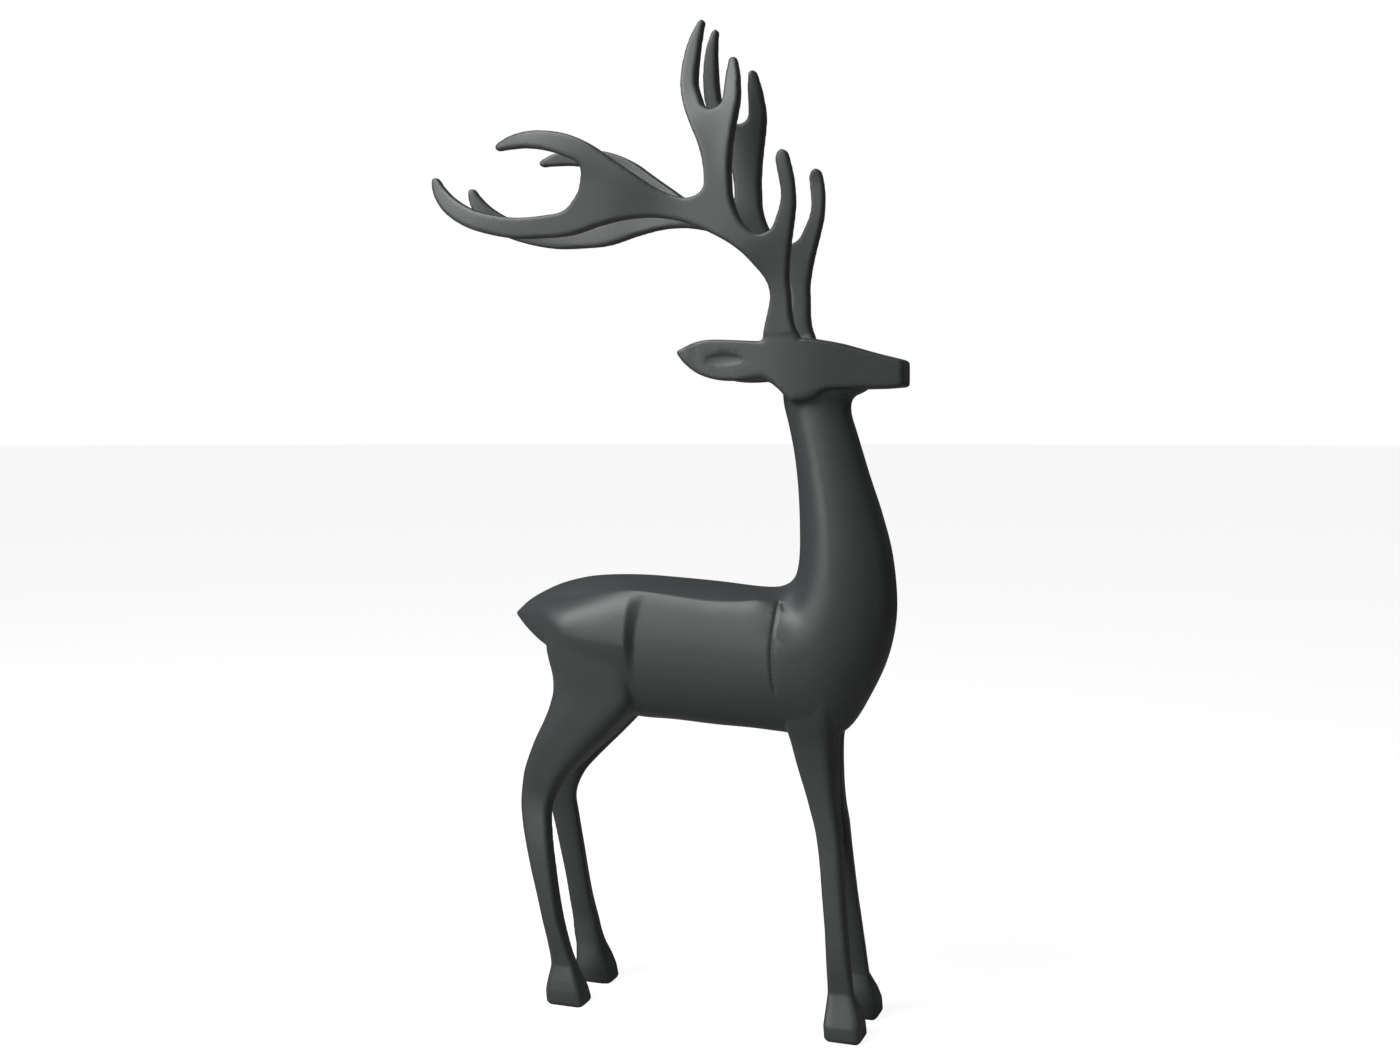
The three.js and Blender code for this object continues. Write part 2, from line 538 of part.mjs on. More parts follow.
function ear() {
  const under = smooth([earTip, ...earUnder], 3);
  const top = smooth([...earTop, earTip], 3).slice(0, -1);
  const place = (x) => {
    const share = THREE.MathUtils.clamp((x - earTip[0]) / earTaper, earTipShare, 1);
    return { spread: earSpread, thickness: earThickness * share, bevel: earBevel * share };
  };
  return bentPlate([...top, ...under], place);
}

function hollowOfEar() {
  const { x, z, length, width, depth } = earHollow;
  const bowl = new THREE.SphereGeometry(1, 16, 8);
  bowl.scale(length / 2, depth * 2, width / 2);
  bowl.translate(x, -(earSpread + earThickness / 2 + depth), z);
  return bowl;
}

function deer() {
  const earPair = pair(ear()).subtract(pair(hollowOfEar()));
  return solid(body())
    .add(pair(limb(hindStations, hindHoof, 16)))
    .add(pair(limb(frontStations, frontHoof, 12)))
    .add(solid(head()))
    .add(earPair)
    .add(pair(antler()));
}

function geometryOf(manifold) {
  const { vertProperties, triVerts } = manifold.getMesh();
  const geometry = new THREE.BufferGeometry();
  geometry.setAttribute("position", new THREE.BufferAttribute(vertProperties, 3));
  geometry.setIndex(new THREE.BufferAttribute(triVerts, 1));
  return geometry;
}

const charcoal = new THREE.MeshStandardMaterial({ color: "#4b4f50", roughness: 0.55, metalness: 0 });
const casting = new THREE.Mesh(geometryOf(deer()), charcoal);
casting.name = "deer";

const group = new THREE.Group();
group.add(casting);

export default group;
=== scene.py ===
"""A standing stag, cast in one piece and painted a satin charcoal, on a plain pale floor.

The body, the legs, the head with its ears and the antlers are shaped one by one, joined, and
fused into one skin with soft edges. The tables of the stag are in millimetres, and MM turns
them into metres. The stage is in metres.
"""

import math

import bmesh
import bpy
import numpy as np
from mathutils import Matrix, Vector


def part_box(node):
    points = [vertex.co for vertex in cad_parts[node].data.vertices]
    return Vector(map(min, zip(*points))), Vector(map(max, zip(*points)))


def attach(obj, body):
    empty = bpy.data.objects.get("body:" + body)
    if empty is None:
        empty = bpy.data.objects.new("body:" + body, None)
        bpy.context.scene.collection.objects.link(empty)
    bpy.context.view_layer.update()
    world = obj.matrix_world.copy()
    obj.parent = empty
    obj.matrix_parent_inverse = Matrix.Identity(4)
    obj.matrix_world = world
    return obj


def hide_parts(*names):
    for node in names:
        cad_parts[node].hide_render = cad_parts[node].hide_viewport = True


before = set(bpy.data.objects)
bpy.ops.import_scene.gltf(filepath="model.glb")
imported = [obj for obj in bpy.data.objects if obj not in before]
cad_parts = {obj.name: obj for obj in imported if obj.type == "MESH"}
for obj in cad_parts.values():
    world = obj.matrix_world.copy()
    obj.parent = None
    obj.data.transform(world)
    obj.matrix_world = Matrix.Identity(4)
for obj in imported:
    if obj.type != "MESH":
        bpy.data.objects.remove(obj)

bl_info = {
    "name": "Standing stag",
    "version": (1, 0),
    "blender": (4, 5, 0),
    "location": "View3D > Sidebar > Stag",
    "description": "A cast standing stag with swept-back antlers, and its plain stage",
    "category": "Add Mesh",
}

MM = 0.001
NODE = "deer"
FRAME_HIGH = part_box(NODE)[1]
HEIGHT = FRAME_HIGH.z / MM
MUZZLE_X = FRAME_HIGH.x / MM

# Body sections from the tail to the head, each from a point on the back line to one on the belly
# line: back x, z, belly x, z, half width of the back band, where its edge lies (share of the
# depth), half width of the side, where that lies, and how much further the haunch stands out
BODY_STATIONS = [
    [-86.9, 201.4, -86.5, 200.2, 0.5, 0.45, 0.7, 0.6, 0.0],
    [-79.0, 208.2, -79.4, 193.6, 5.5, 0.27, 7.0, 0.55, 0.0],
    [-70.1, 213.4, -71.2, 187.2, 9.5, 0.225, 13.0, 0.52, 0.6],
    [-58.5, 218.4, -62.0, 180.6, 13.0, 0.185, 19.5, 0.48, 3.2],
    [-44.1, 222.0, -54.0, 162.5, 17.0, 0.15, 24.0, 0.45, 4.7],
    [-29.9, 223.4, -36.0, 153.4, 19.6, 0.115, 26.3, 0.45, 3.5],
    [-13.1, 223.7, -13.2, 150.2, 20.5, 0.084, 26.3, 0.45, 3.4],
    [6.3, 222.9, 6.2, 149.8, 20.5, 0.094, 26.6, 0.45, 3.4],
    [28.0, 221.6, 28.1, 148.6, 20.5, 0.107, 26.8, 0.45, 3.4],
    [44.1, 220.1, 45.3, 148.2, 20.0, 0.084, 27.0, 0.45, 0.0],
    [53.5, 219.6, 56.5, 147.6, 19.2, 0.064, 27.2, 0.45, 0.0],
    [60.0, 220.2, 68.0, 146.8, 18.2, 0.082, 27.4, 0.45, 0.0],
    [65.0, 222.2, 82.0, 145.2, 17.4, 0.12, 27.0, 0.44, 0.0],
    [68.2, 225.6, 95.6, 150.4, 16.5, 0.148, 26.2, 0.43, 0.0],
    [69.9, 230.6, 106.8, 168.0, 15.4, 0.146, 25.4, 0.435, 0.0],
    [70.7, 238.4, 115.3, 187.6, 13.8, 0.125, 24.2, 0.44, 0.0],
    [70.6, 248.6, 119.1, 209.5, 12.1, 0.117, 22.4, 0.44, 0.0],
    [70.1, 261.1, 117.1, 235.5, 10.3, 0.107, 20.0, 0.44, 0.0],
    [69.2, 273.5, 111.7, 256.9, 9.3, 0.103, 17.6, 0.44, 0.0],
    [67.4, 287.4, 105.5, 275.4, 8.3, 0.1, 15.4, 0.44, 0.0],
    [64.6, 300.9, 99.4, 295.0, 7.6, 0.09, 13.8, 0.44, 0.0],
    [62.4, 309.3, 95.8, 307.2, 7.2, 0.085, 13.2, 0.44, 0.0],
    [61.6, 314.0, 97.0, 314.2, 7.0, 0.085, 13.0, 0.44, 0.0],
    [61.4, 317.0, 103.5, 317.8, 7.0, 0.085, 13.0, 0.44, 0.0],
    [61.4, 323.0, 106.0, 323.0, 7.0, 0.085, 12.0, 0.44, 0.0],
]
BACK_CROWN = 1.9  # above 1 the back band is rounder at its middle
UPPER_SIDE_START = math.radians(38)  # slope of the side at the band's edge
BELLY_FULLNESS = 0.86  # below 1 is fuller than an ellipse
# The haunch ends in a slanted step: its crisp upper edge, and its foot, which curves forward
# above a height
HAUNCH_EDGE_X = -12.6
HAUNCH_FOOT_X = -8.8
HAUNCH_FOOT_Z = 185
HAUNCH_FOOT_CURVE = 0.0045
HAUNCH_FOOT_SOFTNESS = 1.3  # above 1 the foot is softer than the edge
HAUNCH_LEAN = 0.18  # how fast its lower part draws in
HAUNCH_LOW = [0.5, 0.8]  # shares of the depth between which the haunch gives way to the leg
HAUNCH_REAR = [-58, -46]  # x between which its lower part begins
# Rows of the table between which the sections lie closer, and how many sections
STEP_PLACES = [5.9, 6.6, 21]
# Parts of each half of a section: along the back band, the side and the belly
BAND_PARTS = 8
SIDE_PARTS = 12
BELLY_PARTS = 16

# Limb sections, top to bottom: rear x, z, front x, z, outer half width, inner half width,
# squareness of the rear and of the front (2 is an ellipse), and how much further back and
# forward the inner face reaches than the outer one
HIND_LEG = [
    [-55.0, 201.0, -16.0, 201.0, 27.0, 2.0, 2.2, 5.0, 0.0, 0.0],
    [-60.4, 194.5, -14.0, 194.5, 28.7, -0.8, 2.2, 6.0, 0.0, 0.0],
    [-61.8, 188.0, -12.8, 188.0, 28.5, -0.8, 2.3, 6.5, 0.0, 0.0],
    [-60.4, 179.5, -12.4, 178.5, 27.5, -0.8, 2.4, 6.5, 0.0, 0.0],
    [-58.3, 171.5, -12.2, 169.0, 26.4, -0.8, 2.6, 6.5, 0.0, 0.0],
    [-58.0, 163.5, -12.2, 161.5, 25.4, -0.8, 2.9, 6.0, 0.0, 1.6],
    [-59.3, 157.5, -17.2, 154.2, 24.8, -0.8, 3.2, 5.0, 0.0, 3.8],
    [-61.2, 152.0, -24.2, 147.2, 24.3, -0.8, 3.4, 4.6, 0.0, 4.8],
    [-64.0, 145.6, -32.4, 139.0, 23.6, 1.2, 3.6, 4.4, 0.0, 4.8],
    [-67.4, 138.5, -41.0, 130.8, 22.8, 4.4, 3.9, 4.4, 0.0, 4.4],
    [-70.7, 130.5, -49.0, 122.8, 21.8, 7.4, 4.2, 4.6, 0.0, 3.8],
    [-73.9, 121.0, -55.2, 115.6, 20.9, 9.8, 4.7, 5.0, 0.0, 3.0],
    [-75.5, 111.5, -59.4, 107.2, 19.9, 11.6, 5.2, 5.5, 0.0, 2.0],
    [-75.8, 103.0, -61.0, 100.0, 20.2, 12.8, 5.6, 6.0, 0.0, 1.6],
    [-74.2, 92.5, -60.3, 92.0, 21.4, 14.2, 6.0, 6.0, 0.2, 1.4],
    [-71.7, 82.0, -59.1, 82.0, 22.7, 14.9, 6.0, 6.0, 0.6, 1.2],
    [-68.4, 69.2, -57.3, 69.5, 23.6, 15.3, 6.0, 6.0, 1.3, 1.2],
    [-64.8, 56.6, -55.3, 56.5, 24.1, 15.6, 6.0, 6.0, 2.4, 1.2],
    [-61.5, 43.9, -52.9, 44.0, 24.5, 15.5, 6.0, 6.0, 3.5, 1.1],
    [-58.7, 33.6, -49.7, 33.6, 24.1, 15.6, 6.0, 6.0, 4.6, 0.6],
    [-57.2, 26.0, -47.3, 26.2, 23.4, 14.8, 6.0, 6.0, 5.0, 0.0],
    [-57.0, 20.0, -44.9, 20.6, 23.2, 14.0, 6.0, 6.0, 3.6, -0.6],
]
HIND_HOOF = [
    [-57.0, 20.0, -44.9, 20.6, 23.2, 14.0, 6.0, 6.0, 3.6, -0.6],
    [-59.1, 12.4, -41.4, 13.4, 25.1, 12.2, 6.0, 6.0, 0.4, -1.4],
    [-59.9, 7.6, -39.5, 8.0, 26.0, 11.2, 6.0, 6.0, 0.0, -0.6],
    [-59.4, 1.6, -38.3, 1.6, 26.2, 10.9, 6.0, 6.0, 0.0, 0.0],
    [-58.4, 0.0, -39.3, 0.0, 25.2, 11.9, 6.0, 6.0, 0.0, 0.0],
]
FRONT_LEG = [
    [70.0, 200.0, 100.0, 200.0, 22.0, -0.8, 3.0, 2.2, 0.0, 0.0],
    [67.5, 188.0, 99.0, 188.0, 24.6, -0.8, 3.5, 2.4, 0.0, 0.0],
    [66.4, 176.0, 97.0, 176.0, 24.4, -0.8, 4.0, 2.6, 0.0, 0.0],
    [66.8, 164.0, 94.0, 164.0, 22.6, -0.8, 4.5, 3.2, 0.0, 0.0],
    [67.8, 152.5, 90.8, 153.0, 19.6, -0.8, 5.0, 4.0, 0.0, 3.2],
    [69.7, 144.5, 89.7, 144.5, 16.9, -0.8, 5.5, 4.6, 0.0, 3.4],
    [71.5, 136.8, 89.8, 136.5, 15.4, -0.6, 6.0, 5.0, 0.0, 3.0],
    [73.6, 129.0, 90.3, 128.8, 14.5, -0.5, 6.0, 5.0, 0.0, 2.4],
    [76.4, 120.0, 91.0, 120.0, 13.9, -0.4, 6.0, 5.0, 0.0, 1.6],
    [79.3, 110.0, 92.1, 110.0, 13.6, 1.6, 6.0, 5.5, 0.0, 1.2],
    [81.8, 101.0, 93.6, 101.0, 13.7, 3.3, 6.0, 6.0, 0.0, 1.2],
    [83.5, 91.5, 94.5, 91.5, 14.0, 4.7, 6.0, 6.0, 0.0, 1.2],
    [84.8, 82.0, 95.4, 82.0, 14.8, 6.0, 6.0, 6.0, 0.0, 1.1],
    [85.9, 72.0, 96.4, 72.0, 15.7, 7.3, 6.0, 6.0, 0.2, 1.1],
    [87.2, 62.0, 97.4, 62.0, 16.9, 8.9, 6.0, 6.0, 0.5, 1.0],
    [88.4, 52.5, 98.6, 52.5, 17.9, 10.3, 6.0, 6.0, 0.8, 0.9],
    [89.3, 42.5, 99.8, 42.5, 19.0, 11.4, 6.0, 6.0, 1.0, 0.8],
    [89.9, 34.0, 101.0, 34.0, 19.5, 12.2, 6.0, 6.0, 1.0, 0.6],
    [90.3, 27.0, 102.1, 27.0, 19.3, 12.6, 6.0, 6.0, 0.8, 0.3],
    [90.4, 21.8, 103.0, 21.8, 19.2, 12.5, 6.0, 6.0, 0.4, 0.0],
]
FRONT_HOOF = [
    [90.4, 21.8, 103.0, 21.8, 19.2, 12.5, 6.0, 6.0, 0.4, 0.0],
    [89.7, 13.2, 106.9, 14.0, 22.9, 9.8, 6.0, 6.0, 0.0, -0.6],
    [89.4, 7.4, 108.5, 8.0, 25.8, 8.5, 6.0, 6.0, 0.0, -0.4],
    [90.0, 1.6, 108.9, 1.6, 26.4, 8.1, 6.0, 6.0, 0.0, 0.0],
    [91.0, 0.0, 107.9, 0.0, 25.4, 9.1, 6.0, 6.0, 0.0, 0.0],
]

# Antler limbs as knots on their middle lines: x, z, width in the plate's own plane, how far the
# plate's middle stands from y = 0 there, and its thickness. A width of 0 is a tine's tip.
FOOT = [
    [65.3, 334.0, 20.3, 15.4, 7.2],
    [64.9, 342.5, 17.9, 15.5, 7.2],
    [64.3, 350.6, 13.1, 16.2, 7.0],
    [65.1, 362.5, 9.3, 17.6, 6.6],
]
REAR_TINE = [
    [-43.5, 402.6, 12.2, 24.5, 7.4],
    [-58.0, 400.8, 10.4, 24.7, 7.2],
    [-74.0, 400.9, 9.8, 25.0, 7.0],
    [-90.6, 404.0, 9.5, 24.8, 6.8],
    [-102.5, 408.3, 9.3, 23.4, 6.4],
    [-113.4, 415.2, 8.6, 21.2, 5.6],
    [-119.3, 422.0, 6.8, 20.3, 4.8],
    [-121.2, 426.0, 4.9, 20.0, 4.4],
    [-122.3, 429.0, 0.0, 20.0, 4.2],
]
CREST_TINE = [
    [-32.3, 434.2, 11.6, 29.6, 7.4],
    [-43.0, 439.9, 10.4, 29.8, 7.2],
    [-55.0, 443.1, 9.0, 29.5, 6.8],
    [-66.5, 444.1, 7.5, 28.6, 6.2],
    [-76.0, 443.2, 5.8, 26.8, 5.2],
    [-80.6, 442.1, 4.0, 26.2, 4.6],
    [-83.4, 441.3, 0.0, 26.0, 4.2],
]
UPRIGHT = [
    [35.1, 420.2, 12.7, 23.6, 8.0],
    [34.6, 429.5, 13.8, 23.4, 8.2],
    [33.8, 438.5, 17.2, 22.7, 8.4],
    [32.7, 447.5, 22.8, 21.8, 8.4],
]
HIGH_TINE = [
    [20.8, 458.4, 8.5, 18.8, 8.2],
    [18.2, 467.0, 7.5, 17.5, 8.0],
    [17.9, 476.5, 7.1, 15.2, 7.4],
    [18.7, 485.5, 6.4, 13.2, 6.4],
    [20.0, 492.6, 4.9, 11.5, 5.5],
    [21.3, 496.9, 3.4, 10.6, 4.8],
    [22.4, HEIGHT, 0.0, 10.0, 4.4],
]
SECOND_TINE = [
    [40.9, 457.5, 8.1, 20.8, 7.8],
    [41.0, 465.2, 7.0, 19.2, 7.3],
    [40.6, 471.5, 6.0, 17.0, 6.5],
    [40.2, 476.2, 4.4, 15.9, 5.3],
    [40.0, 479.6, 0.0, 15.4, 4.6],
]
BROW_TINE = [
    [69.4, 399.3, 8.0, 24.2, 6.6],
    [71.3, 406.9, 6.6, 25.6, 6.2],
    [71.5, 413.5, 6.3, 27.0, 5.8],
    [70.7, 420.5, 6.6, 28.6, 5.4],
    [69.6, 426.6, 6.2, 29.8, 5.0],
    [69.2, 431.0, 0.0, 30.4, 4.8],
]
# Marks on the antler's outline between the limbs: x, z, spread and thickness
BEAM_UNDERSIDE = [
    [58.9, 370.0, 18.6, 6.8],
    [52.6, 378.6, 21.2, 7.0],
    [44.6, 386.4, 23.2, 7.2],
    [33.0, 393.4, 23.6, 7.4],
    [18.2, 399.8, 22.6, 7.6],
    [3.0, 403.2, 21.2, 7.6],
    [-12.0, 403.2, 22.4, 7.6],
    [-26.0, 400.7, 23.8, 7.5],
]
CREST = [
    [-20.5, 433.2, 29.0, 7.6],
    [-8.0, 424.6, 27.2, 7.6],
    [3.5, 417.0, 24.6, 7.6],
    [12.5, 413.1, 23.4, 7.6],
]
BROW_ROOT = [
    [72.2, 392.0, 22.6, 6.6],
    [70.5, 382.5, 20.8, 6.6],
    [69.5, 372.5, 19.0, 6.6],
]
REAR_FORK = [
    [-30.7, 425.4, 27.0, 7.4],
    [-29.9, 420.5, 26.4, 7.4],
    [-32.4, 415.6, 26.0, 7.4],
    [-38.2, 411.2, 25.3, 7.4],
]
UPRIGHT_HEEL = [
    [20.0, 411.7, 23.4, 7.8],
    [25.6, 413.4, 23.5, 7.9],
    [28.3, 416.6, 23.6, 8.0],
]
TOP_FORK = [
    [26.8, 456.2, 20.8, 8.2],
    [31.3, 454.2, 20.8, 8.2],
    [35.6, 455.8, 20.8, 8.0],
]
BROW_FORK = [
    [42.3, 411.5, 23.9, 8.0],
    [44.5, 404.2, 23.9, 7.8],
    [48.6, 397.2, 23.8, 7.4],
    [56.3, 392.4, 23.6, 7.2],
    [62.4, 394.8, 23.8, 6.8],
]
TINES = [REAR_TINE, CREST_TINE, HIGH_TINE, SECOND_TINE, BROW_TINE]
BLEND_REACH = 10  # how softly the plate bends from one knot to the next
BLEND_SLACK = 2  # how far it may pass a knot, to stay even
FOOT_TOP = 344  # up to this height the antler's outer face is in line with the head's side
FOOT_EASE = 0.3  # how fast it may leave that line further up
RIM_ALLOWANCE = 0.4  # added to a limb's width for its rounded rim
TIP_ALLOWANCE = 0.4  # added to a tine's length for its rounded tip
TIP_CAP = [0.5, 0.87]  # shares of a tine's last length where its round end has a point

# Head and ear as seen from the side: x, z
HEAD_TOP = [
    [58, 341.6], [78, 343.2], [89.7, 341.2], [108.3, 335.9], [121.8, 332.5], [123.2, 331.8],
]
MUZZLE_END = [[MUZZLE_X, 330.6], [MUZZLE_X, 320.6], [123.2, 319.5]]
HEAD_JAW = [[121.8, 319.1], [113, 318.5], [90, 318.3], [85.6, 317.3], [80.6, 313.2]]
HEAD_REAR = [[70, 311.2], [67, 314.4], [64.2, 317.6], [60.6, 320.8], [55.6, 323], [52, 332]]
HEAD_OUTLINE = HEAD_TOP + MUZZLE_END + HEAD_JAW + HEAD_REAR
HEAD_HALF_WIDTH = 19.2  # at the antlers
MUZZLE_HALF_WIDTH = 9.3
ANTLER_FOOT_X = 72
HEAD_TAPER_BLEND = 16  # the head begins to narrow this gently
EAR_TOP = [[58, 342], [53, 341.9], [39.8, 342.6], [27.5, 342.9], [19, 341.3]]
EAR_TIP = [10.2, 337.4]
EAR_UNDER = [[14, 332.2], [21.6, 326.6], [31.5, 323.2], [42, 322.5], [58, 323.6]]
EAR_SPREAD = 16.0
EAR_THICKNESS = 6.4
EAR_TAPER = 12  # length of the ear's thinner end
EAR_TIP_SHARE = 0.45

# Grooves pressed into the skin: a path of x, z, half width, depth, and the length over which a
# groove fades out at the end of its path
SHOULDER_GROOVE = {
    "path": [
        [64.1, 213.5], [64.2, 207], [63.8, 199], [63.6, 190], [63.8, 182], [64.4, 175],
        [66.2, 165],
    ],
    "half_width": 1.6,
    "depth": 1.0,
    "fade": 9,
}
SHOULDER_NICK = {
    "path": [[66.4, 213.2], [67.6, 211.2], [68.7, 209.3]],
    "half_width": 1.3,
    "depth": 0.5,
    "fade": 2,
}
# Where two parts meet without a line: the middle and reach of a round place seen from the side,
# how far from the plane y = 0 it begins, and how often it is evened out
EVEN_PLACES = [
    {"name": "thigh", "x": -36, "z": 176, "reach": 24, "beyond": 12, "passes": 60},
    {"name": "rump", "x": -61, "z": 199, "reach": 15, "beyond": 6, "passes": 80},
    {"name": "shoulder", "x": 84, "z": 207, "reach": 26, "beyond": 6, "passes": 150},
    {"name": "tail", "x": -69, "z": 186, "reach": 9, "beyond": -1, "passes": 30},
    {"name": "jaw", "x": 76, "z": 311, "reach": 13, "beyond": 5, "passes": 40},
    {"name": "ear_root", "x": 55, "z": 331, "reach": 14, "beyond": 17, "passes": 40},
]
# The hollow in each ear: its middle and size, the power of its profile, and how much deeper it is
# towards its upper edge
EAR_HOLLOW = {
    "x": 36.2, "z": 332.8, "length": 21, "width": 6.8, "depth": 1.0, "power": 0.8, "tilt": 0.35,
}

FLAT = 7.5  # thickness of a plate before it is bent
SECTION_STEPS = 6  # rings from each station to the next
CURVE_STEPS = 6  # points from each knot to the next
LEG_POINTS = 48  # points round a leg
SAME_PLACE = 1e-6  # two points of a curve count as at least this far apart
SMOOTH_FACTOR = 0.5  # how far one pass evens out the skin
HEAD_PASSES = 1  # how often the head's rim is evened out
PARTS = ["stag_body", "stag_hind_legs", "stag_front_legs", "stag_head", "stag_ears", "stag_antlers"]

# Uneven grain in the finishes: size in metres, and contrast
CLOUDS = (0.03, 1.6)
WAVES = (0.009, 1.0)
DUST = (0.0006, 1.5)
FLOOR_GRAIN = (0.05, 0.6)
GRAIN_DETAIL = 4.0
GRAIN_ROUGHNESS = 0.6
GRAIN_MIDDLE = 0.5  # the noise varies about this value, and so does the mask
# Shades of the colour, changes of the roughness, and bumps: strength and height in metres
CLOUD_SHADES = (0.93, 1.07)
FLOOR_SHADES = (0.99, 1)
ROUGHNESS_CHANGE = (-0.01, 0.02)
WAVE_BUMP = (0.5, 0.0002)
DUST_BUMP = (0.1, 0.00003)
EDGE_POINTINESS = (0.6, 0.72)  # between these an edge takes on its rubbed colour
FINISH_IOR = 1.5
FLOOR_ROUGHNESS = 0.9
WHITE = (1, 1, 1, 1)
# Sockets of a Mix node that mixes colours
MIX_FACTOR, MIX_A, MIX_B, MIX_RESULT = 0, 6, 7, 2

# The stage, in metres. Each lamp: its name, place and power in watts
LAMPS = [
    ("key_light", (-0.796, -0.796, 0.92), 9.6),
    ("top_light", (-0.406, -0.625, 1.335), 10.4),
    ("front_light", (-0.443, -1.217, 0.383), 3.2),
    ("muzzle_light", (1.28, -0.226, 0.383), 0.4),
]
LAMP_SIZE = 0.7
LAMP_AIM = (0, 0, 0.27)
# The room's light on the stag and the floor; the camera itself sees a white room
FILL_COLOUR = (0.96, 0.98, 1, 1)
FILL_STRENGTH = 0.1
FLOOR_RADIUS = 30
FLOOR_CORNERS = 96
CAMERA_PLACE = (0.288, -0.753, 0.299)
CAMERA_CLIP = (0.01, 100)
SENSOR_WIDTH = 36  # millimetres


class CastingSettings(bpy.types.PropertyGroup):
    """How finely the casting is made, and how soft its edges are"""

    grain: bpy.props.FloatProperty(
        name="Skin grain",
        description="Size of the small squares that the fused skin is made of",
        default=0.8 * MM, min=0.4 * MM, max=4 * MM, unit="LENGTH", precision=5,
    )
    edge_passes: bpy.props.IntProperty(
        name="Edge softening",
        description="How often the fused skin is evened out",
        default=2, min=0, max=20,
    )
    rim_passes: bpy.props.IntProperty(
        name="Plate rim softening",
        description="How often the rims of the antlers and the ears are evened out",
        default=3, min=0, max=30,
    )
    most_triangles: bpy.props.IntProperty(
        name="Most triangles",
        description="The finished skin is thinned to this many triangles",
        default=196000, min=10000, max=199000,
    )


class FinishSettings(bpy.types.PropertyGroup):
    """Colour and surface of the charcoal finish"""

    colour: bpy.props.FloatVectorProperty(
        name="Charcoal", description="Colour of the finish",
        subtype="COLOR", size=3, default=(0.048, 0.0515, 0.053), min=0, max=1,
    )
    edge_colour: bpy.props.FloatVectorProperty(
        name="Rubbed edges", description="Colour of the finish where edges are slightly rubbed",
        subtype="COLOR", size=3, default=(0.066, 0.070, 0.072), min=0, max=1,
    )
    roughness: bpy.props.FloatProperty(
        name="Roughness", description="How matt the finish is",
        default=0.40, min=0, max=1, subtype="FACTOR",
    )


class StageSettings(bpy.types.PropertyGroup):
    """Floor, light and camera"""

    floor_colour: bpy.props.FloatVectorProperty(
        name="Floor", description="Colour of the floor",
        subtype="COLOR", size=3, default=(0.3, 0.3, 0.3), min=0, max=1,
    )
    floor_brightness: bpy.props.FloatProperty(
        name="Floor brightness", description="How bright the camera sees the floor, shadows apart",
        default=0.9, min=0, max=2,
    )
    azimuth: bpy.props.FloatProperty(
        name="Camera azimuth",
        description="Where the camera stands round the stag; 0 looks along +Y",
        default=math.radians(19.78), subtype="ANGLE",
    )
    elevation: bpy.props.FloatProperty(
        name="Camera elevation", description="How far the camera looks down",
        default=math.radians(3.5), subtype="ANGLE",
    )
    lens: bpy.props.FloatProperty(
        name="Lens", description="Focal length in millimetres for a 36 mm wide picture",
        default=40.42, min=10, max=300,
    )


def deselect_all():
    """Leave edit mode and select nothing."""
    if bpy.context.object and bpy.context.object.mode != "OBJECT":
        bpy.ops.object.mode_set(mode="OBJECT")
    bpy.ops.object.select_all(action="DESELECT")


def select_only(*objects):
    """Select these objects; the first is the active one."""
    deselect_all()
    for piece in objects:
        piece.select_set(True)
    bpy.context.view_layer.objects.active = objects[0]


def apply_modifier(piece, kind, **values):
    """Give the piece one modifier and apply it."""
    select_only(piece)
    bpy.ops.object.modifier_add(type=kind)
    modifier = piece.modifiers[-1]
    for key, value in values.items():
        setattr(modifier, key, value)
    bpy.ops.object.modifier_apply(modifier=modifier.name)


def smooth_piece(piece, passes, **values):
    """Even out the piece's skin so many times."""
    apply_modifier(piece, "SMOOTH", factor=SMOOTH_FACTOR, iterations=passes, **values)


def rows_between(rows, t):
    """Smooth values between the rows of a table, at a place t counted in rows."""
    last = len(rows) - 1
    i = min(int(t), last - 1)
    f = t - i
    p, q, r, s = (np.array(rows[min(max(k, 0), last)], float) for k in (i - 1, i, i + 1, i + 2))
    slope_q, slope_r = (r - p) / 2, (s - q) / 2
    return (
        (2 * f**3 - 3 * f**2 + 1) * q + (f**3 - 2 * f**2 + f) * slope_q
        + (3 * f**2 - 2 * f**3) * r + (f**3 - f**2) * slope_r
    )


def steps(rows):
    """Places along a table, with the same number of steps from each row to the next."""
    count = (len(rows) - 1) * SECTION_STEPS
    return [k / SECTION_STEPS for k in range(count + 1)]


def smooth_line(points, parts=CURVE_STEPS):
    """A smooth open curve through the points, with so many parts from each to the next."""
    points = np.array(points, float)
    ends = 2 * points[0] - points[1], 2 * points[-1] - points[-2]
    padded = np.vstack([ends[0], points, ends[1]])
    line = []
    for i in range(1, len(padded) - 2):
        p, q, r, s = padded[i - 1 : i + 3]
        t0 = 0.0
        t1 = t0 + max(np.linalg.norm(q - p), SAME_PLACE) ** 0.5
        t2 = t1 + max(np.linalg.norm(r - q), SAME_PLACE) ** 0.5
        t3 = t2 + max(np.linalg.norm(s - r), SAME_PLACE) ** 0.5
        for k in range(parts):
            t = t1 + (t2 - t1) * k / parts
            a1 = (t1 - t) / (t1 - t0) * p + (t - t0) / (t1 - t0) * q
            a2 = (t2 - t) / (t2 - t1) * q + (t - t1) / (t2 - t1) * r
            a3 = (t3 - t) / (t3 - t2) * r + (t - t2) / (t3 - t2) * s
            b1 = (t2 - t) / (t2 - t0) * a1 + (t - t0) / (t2 - t0) * a2
            b2 = (t3 - t) / (t3 - t1) * a2 + (t - t1) / (t3 - t1) * a3
            line.append((t2 - t) / (t2 - t1) * b1 + (t - t1) / (t2 - t1) * b2)
    line.append(points[-1])
    return [list(point) for point in line]


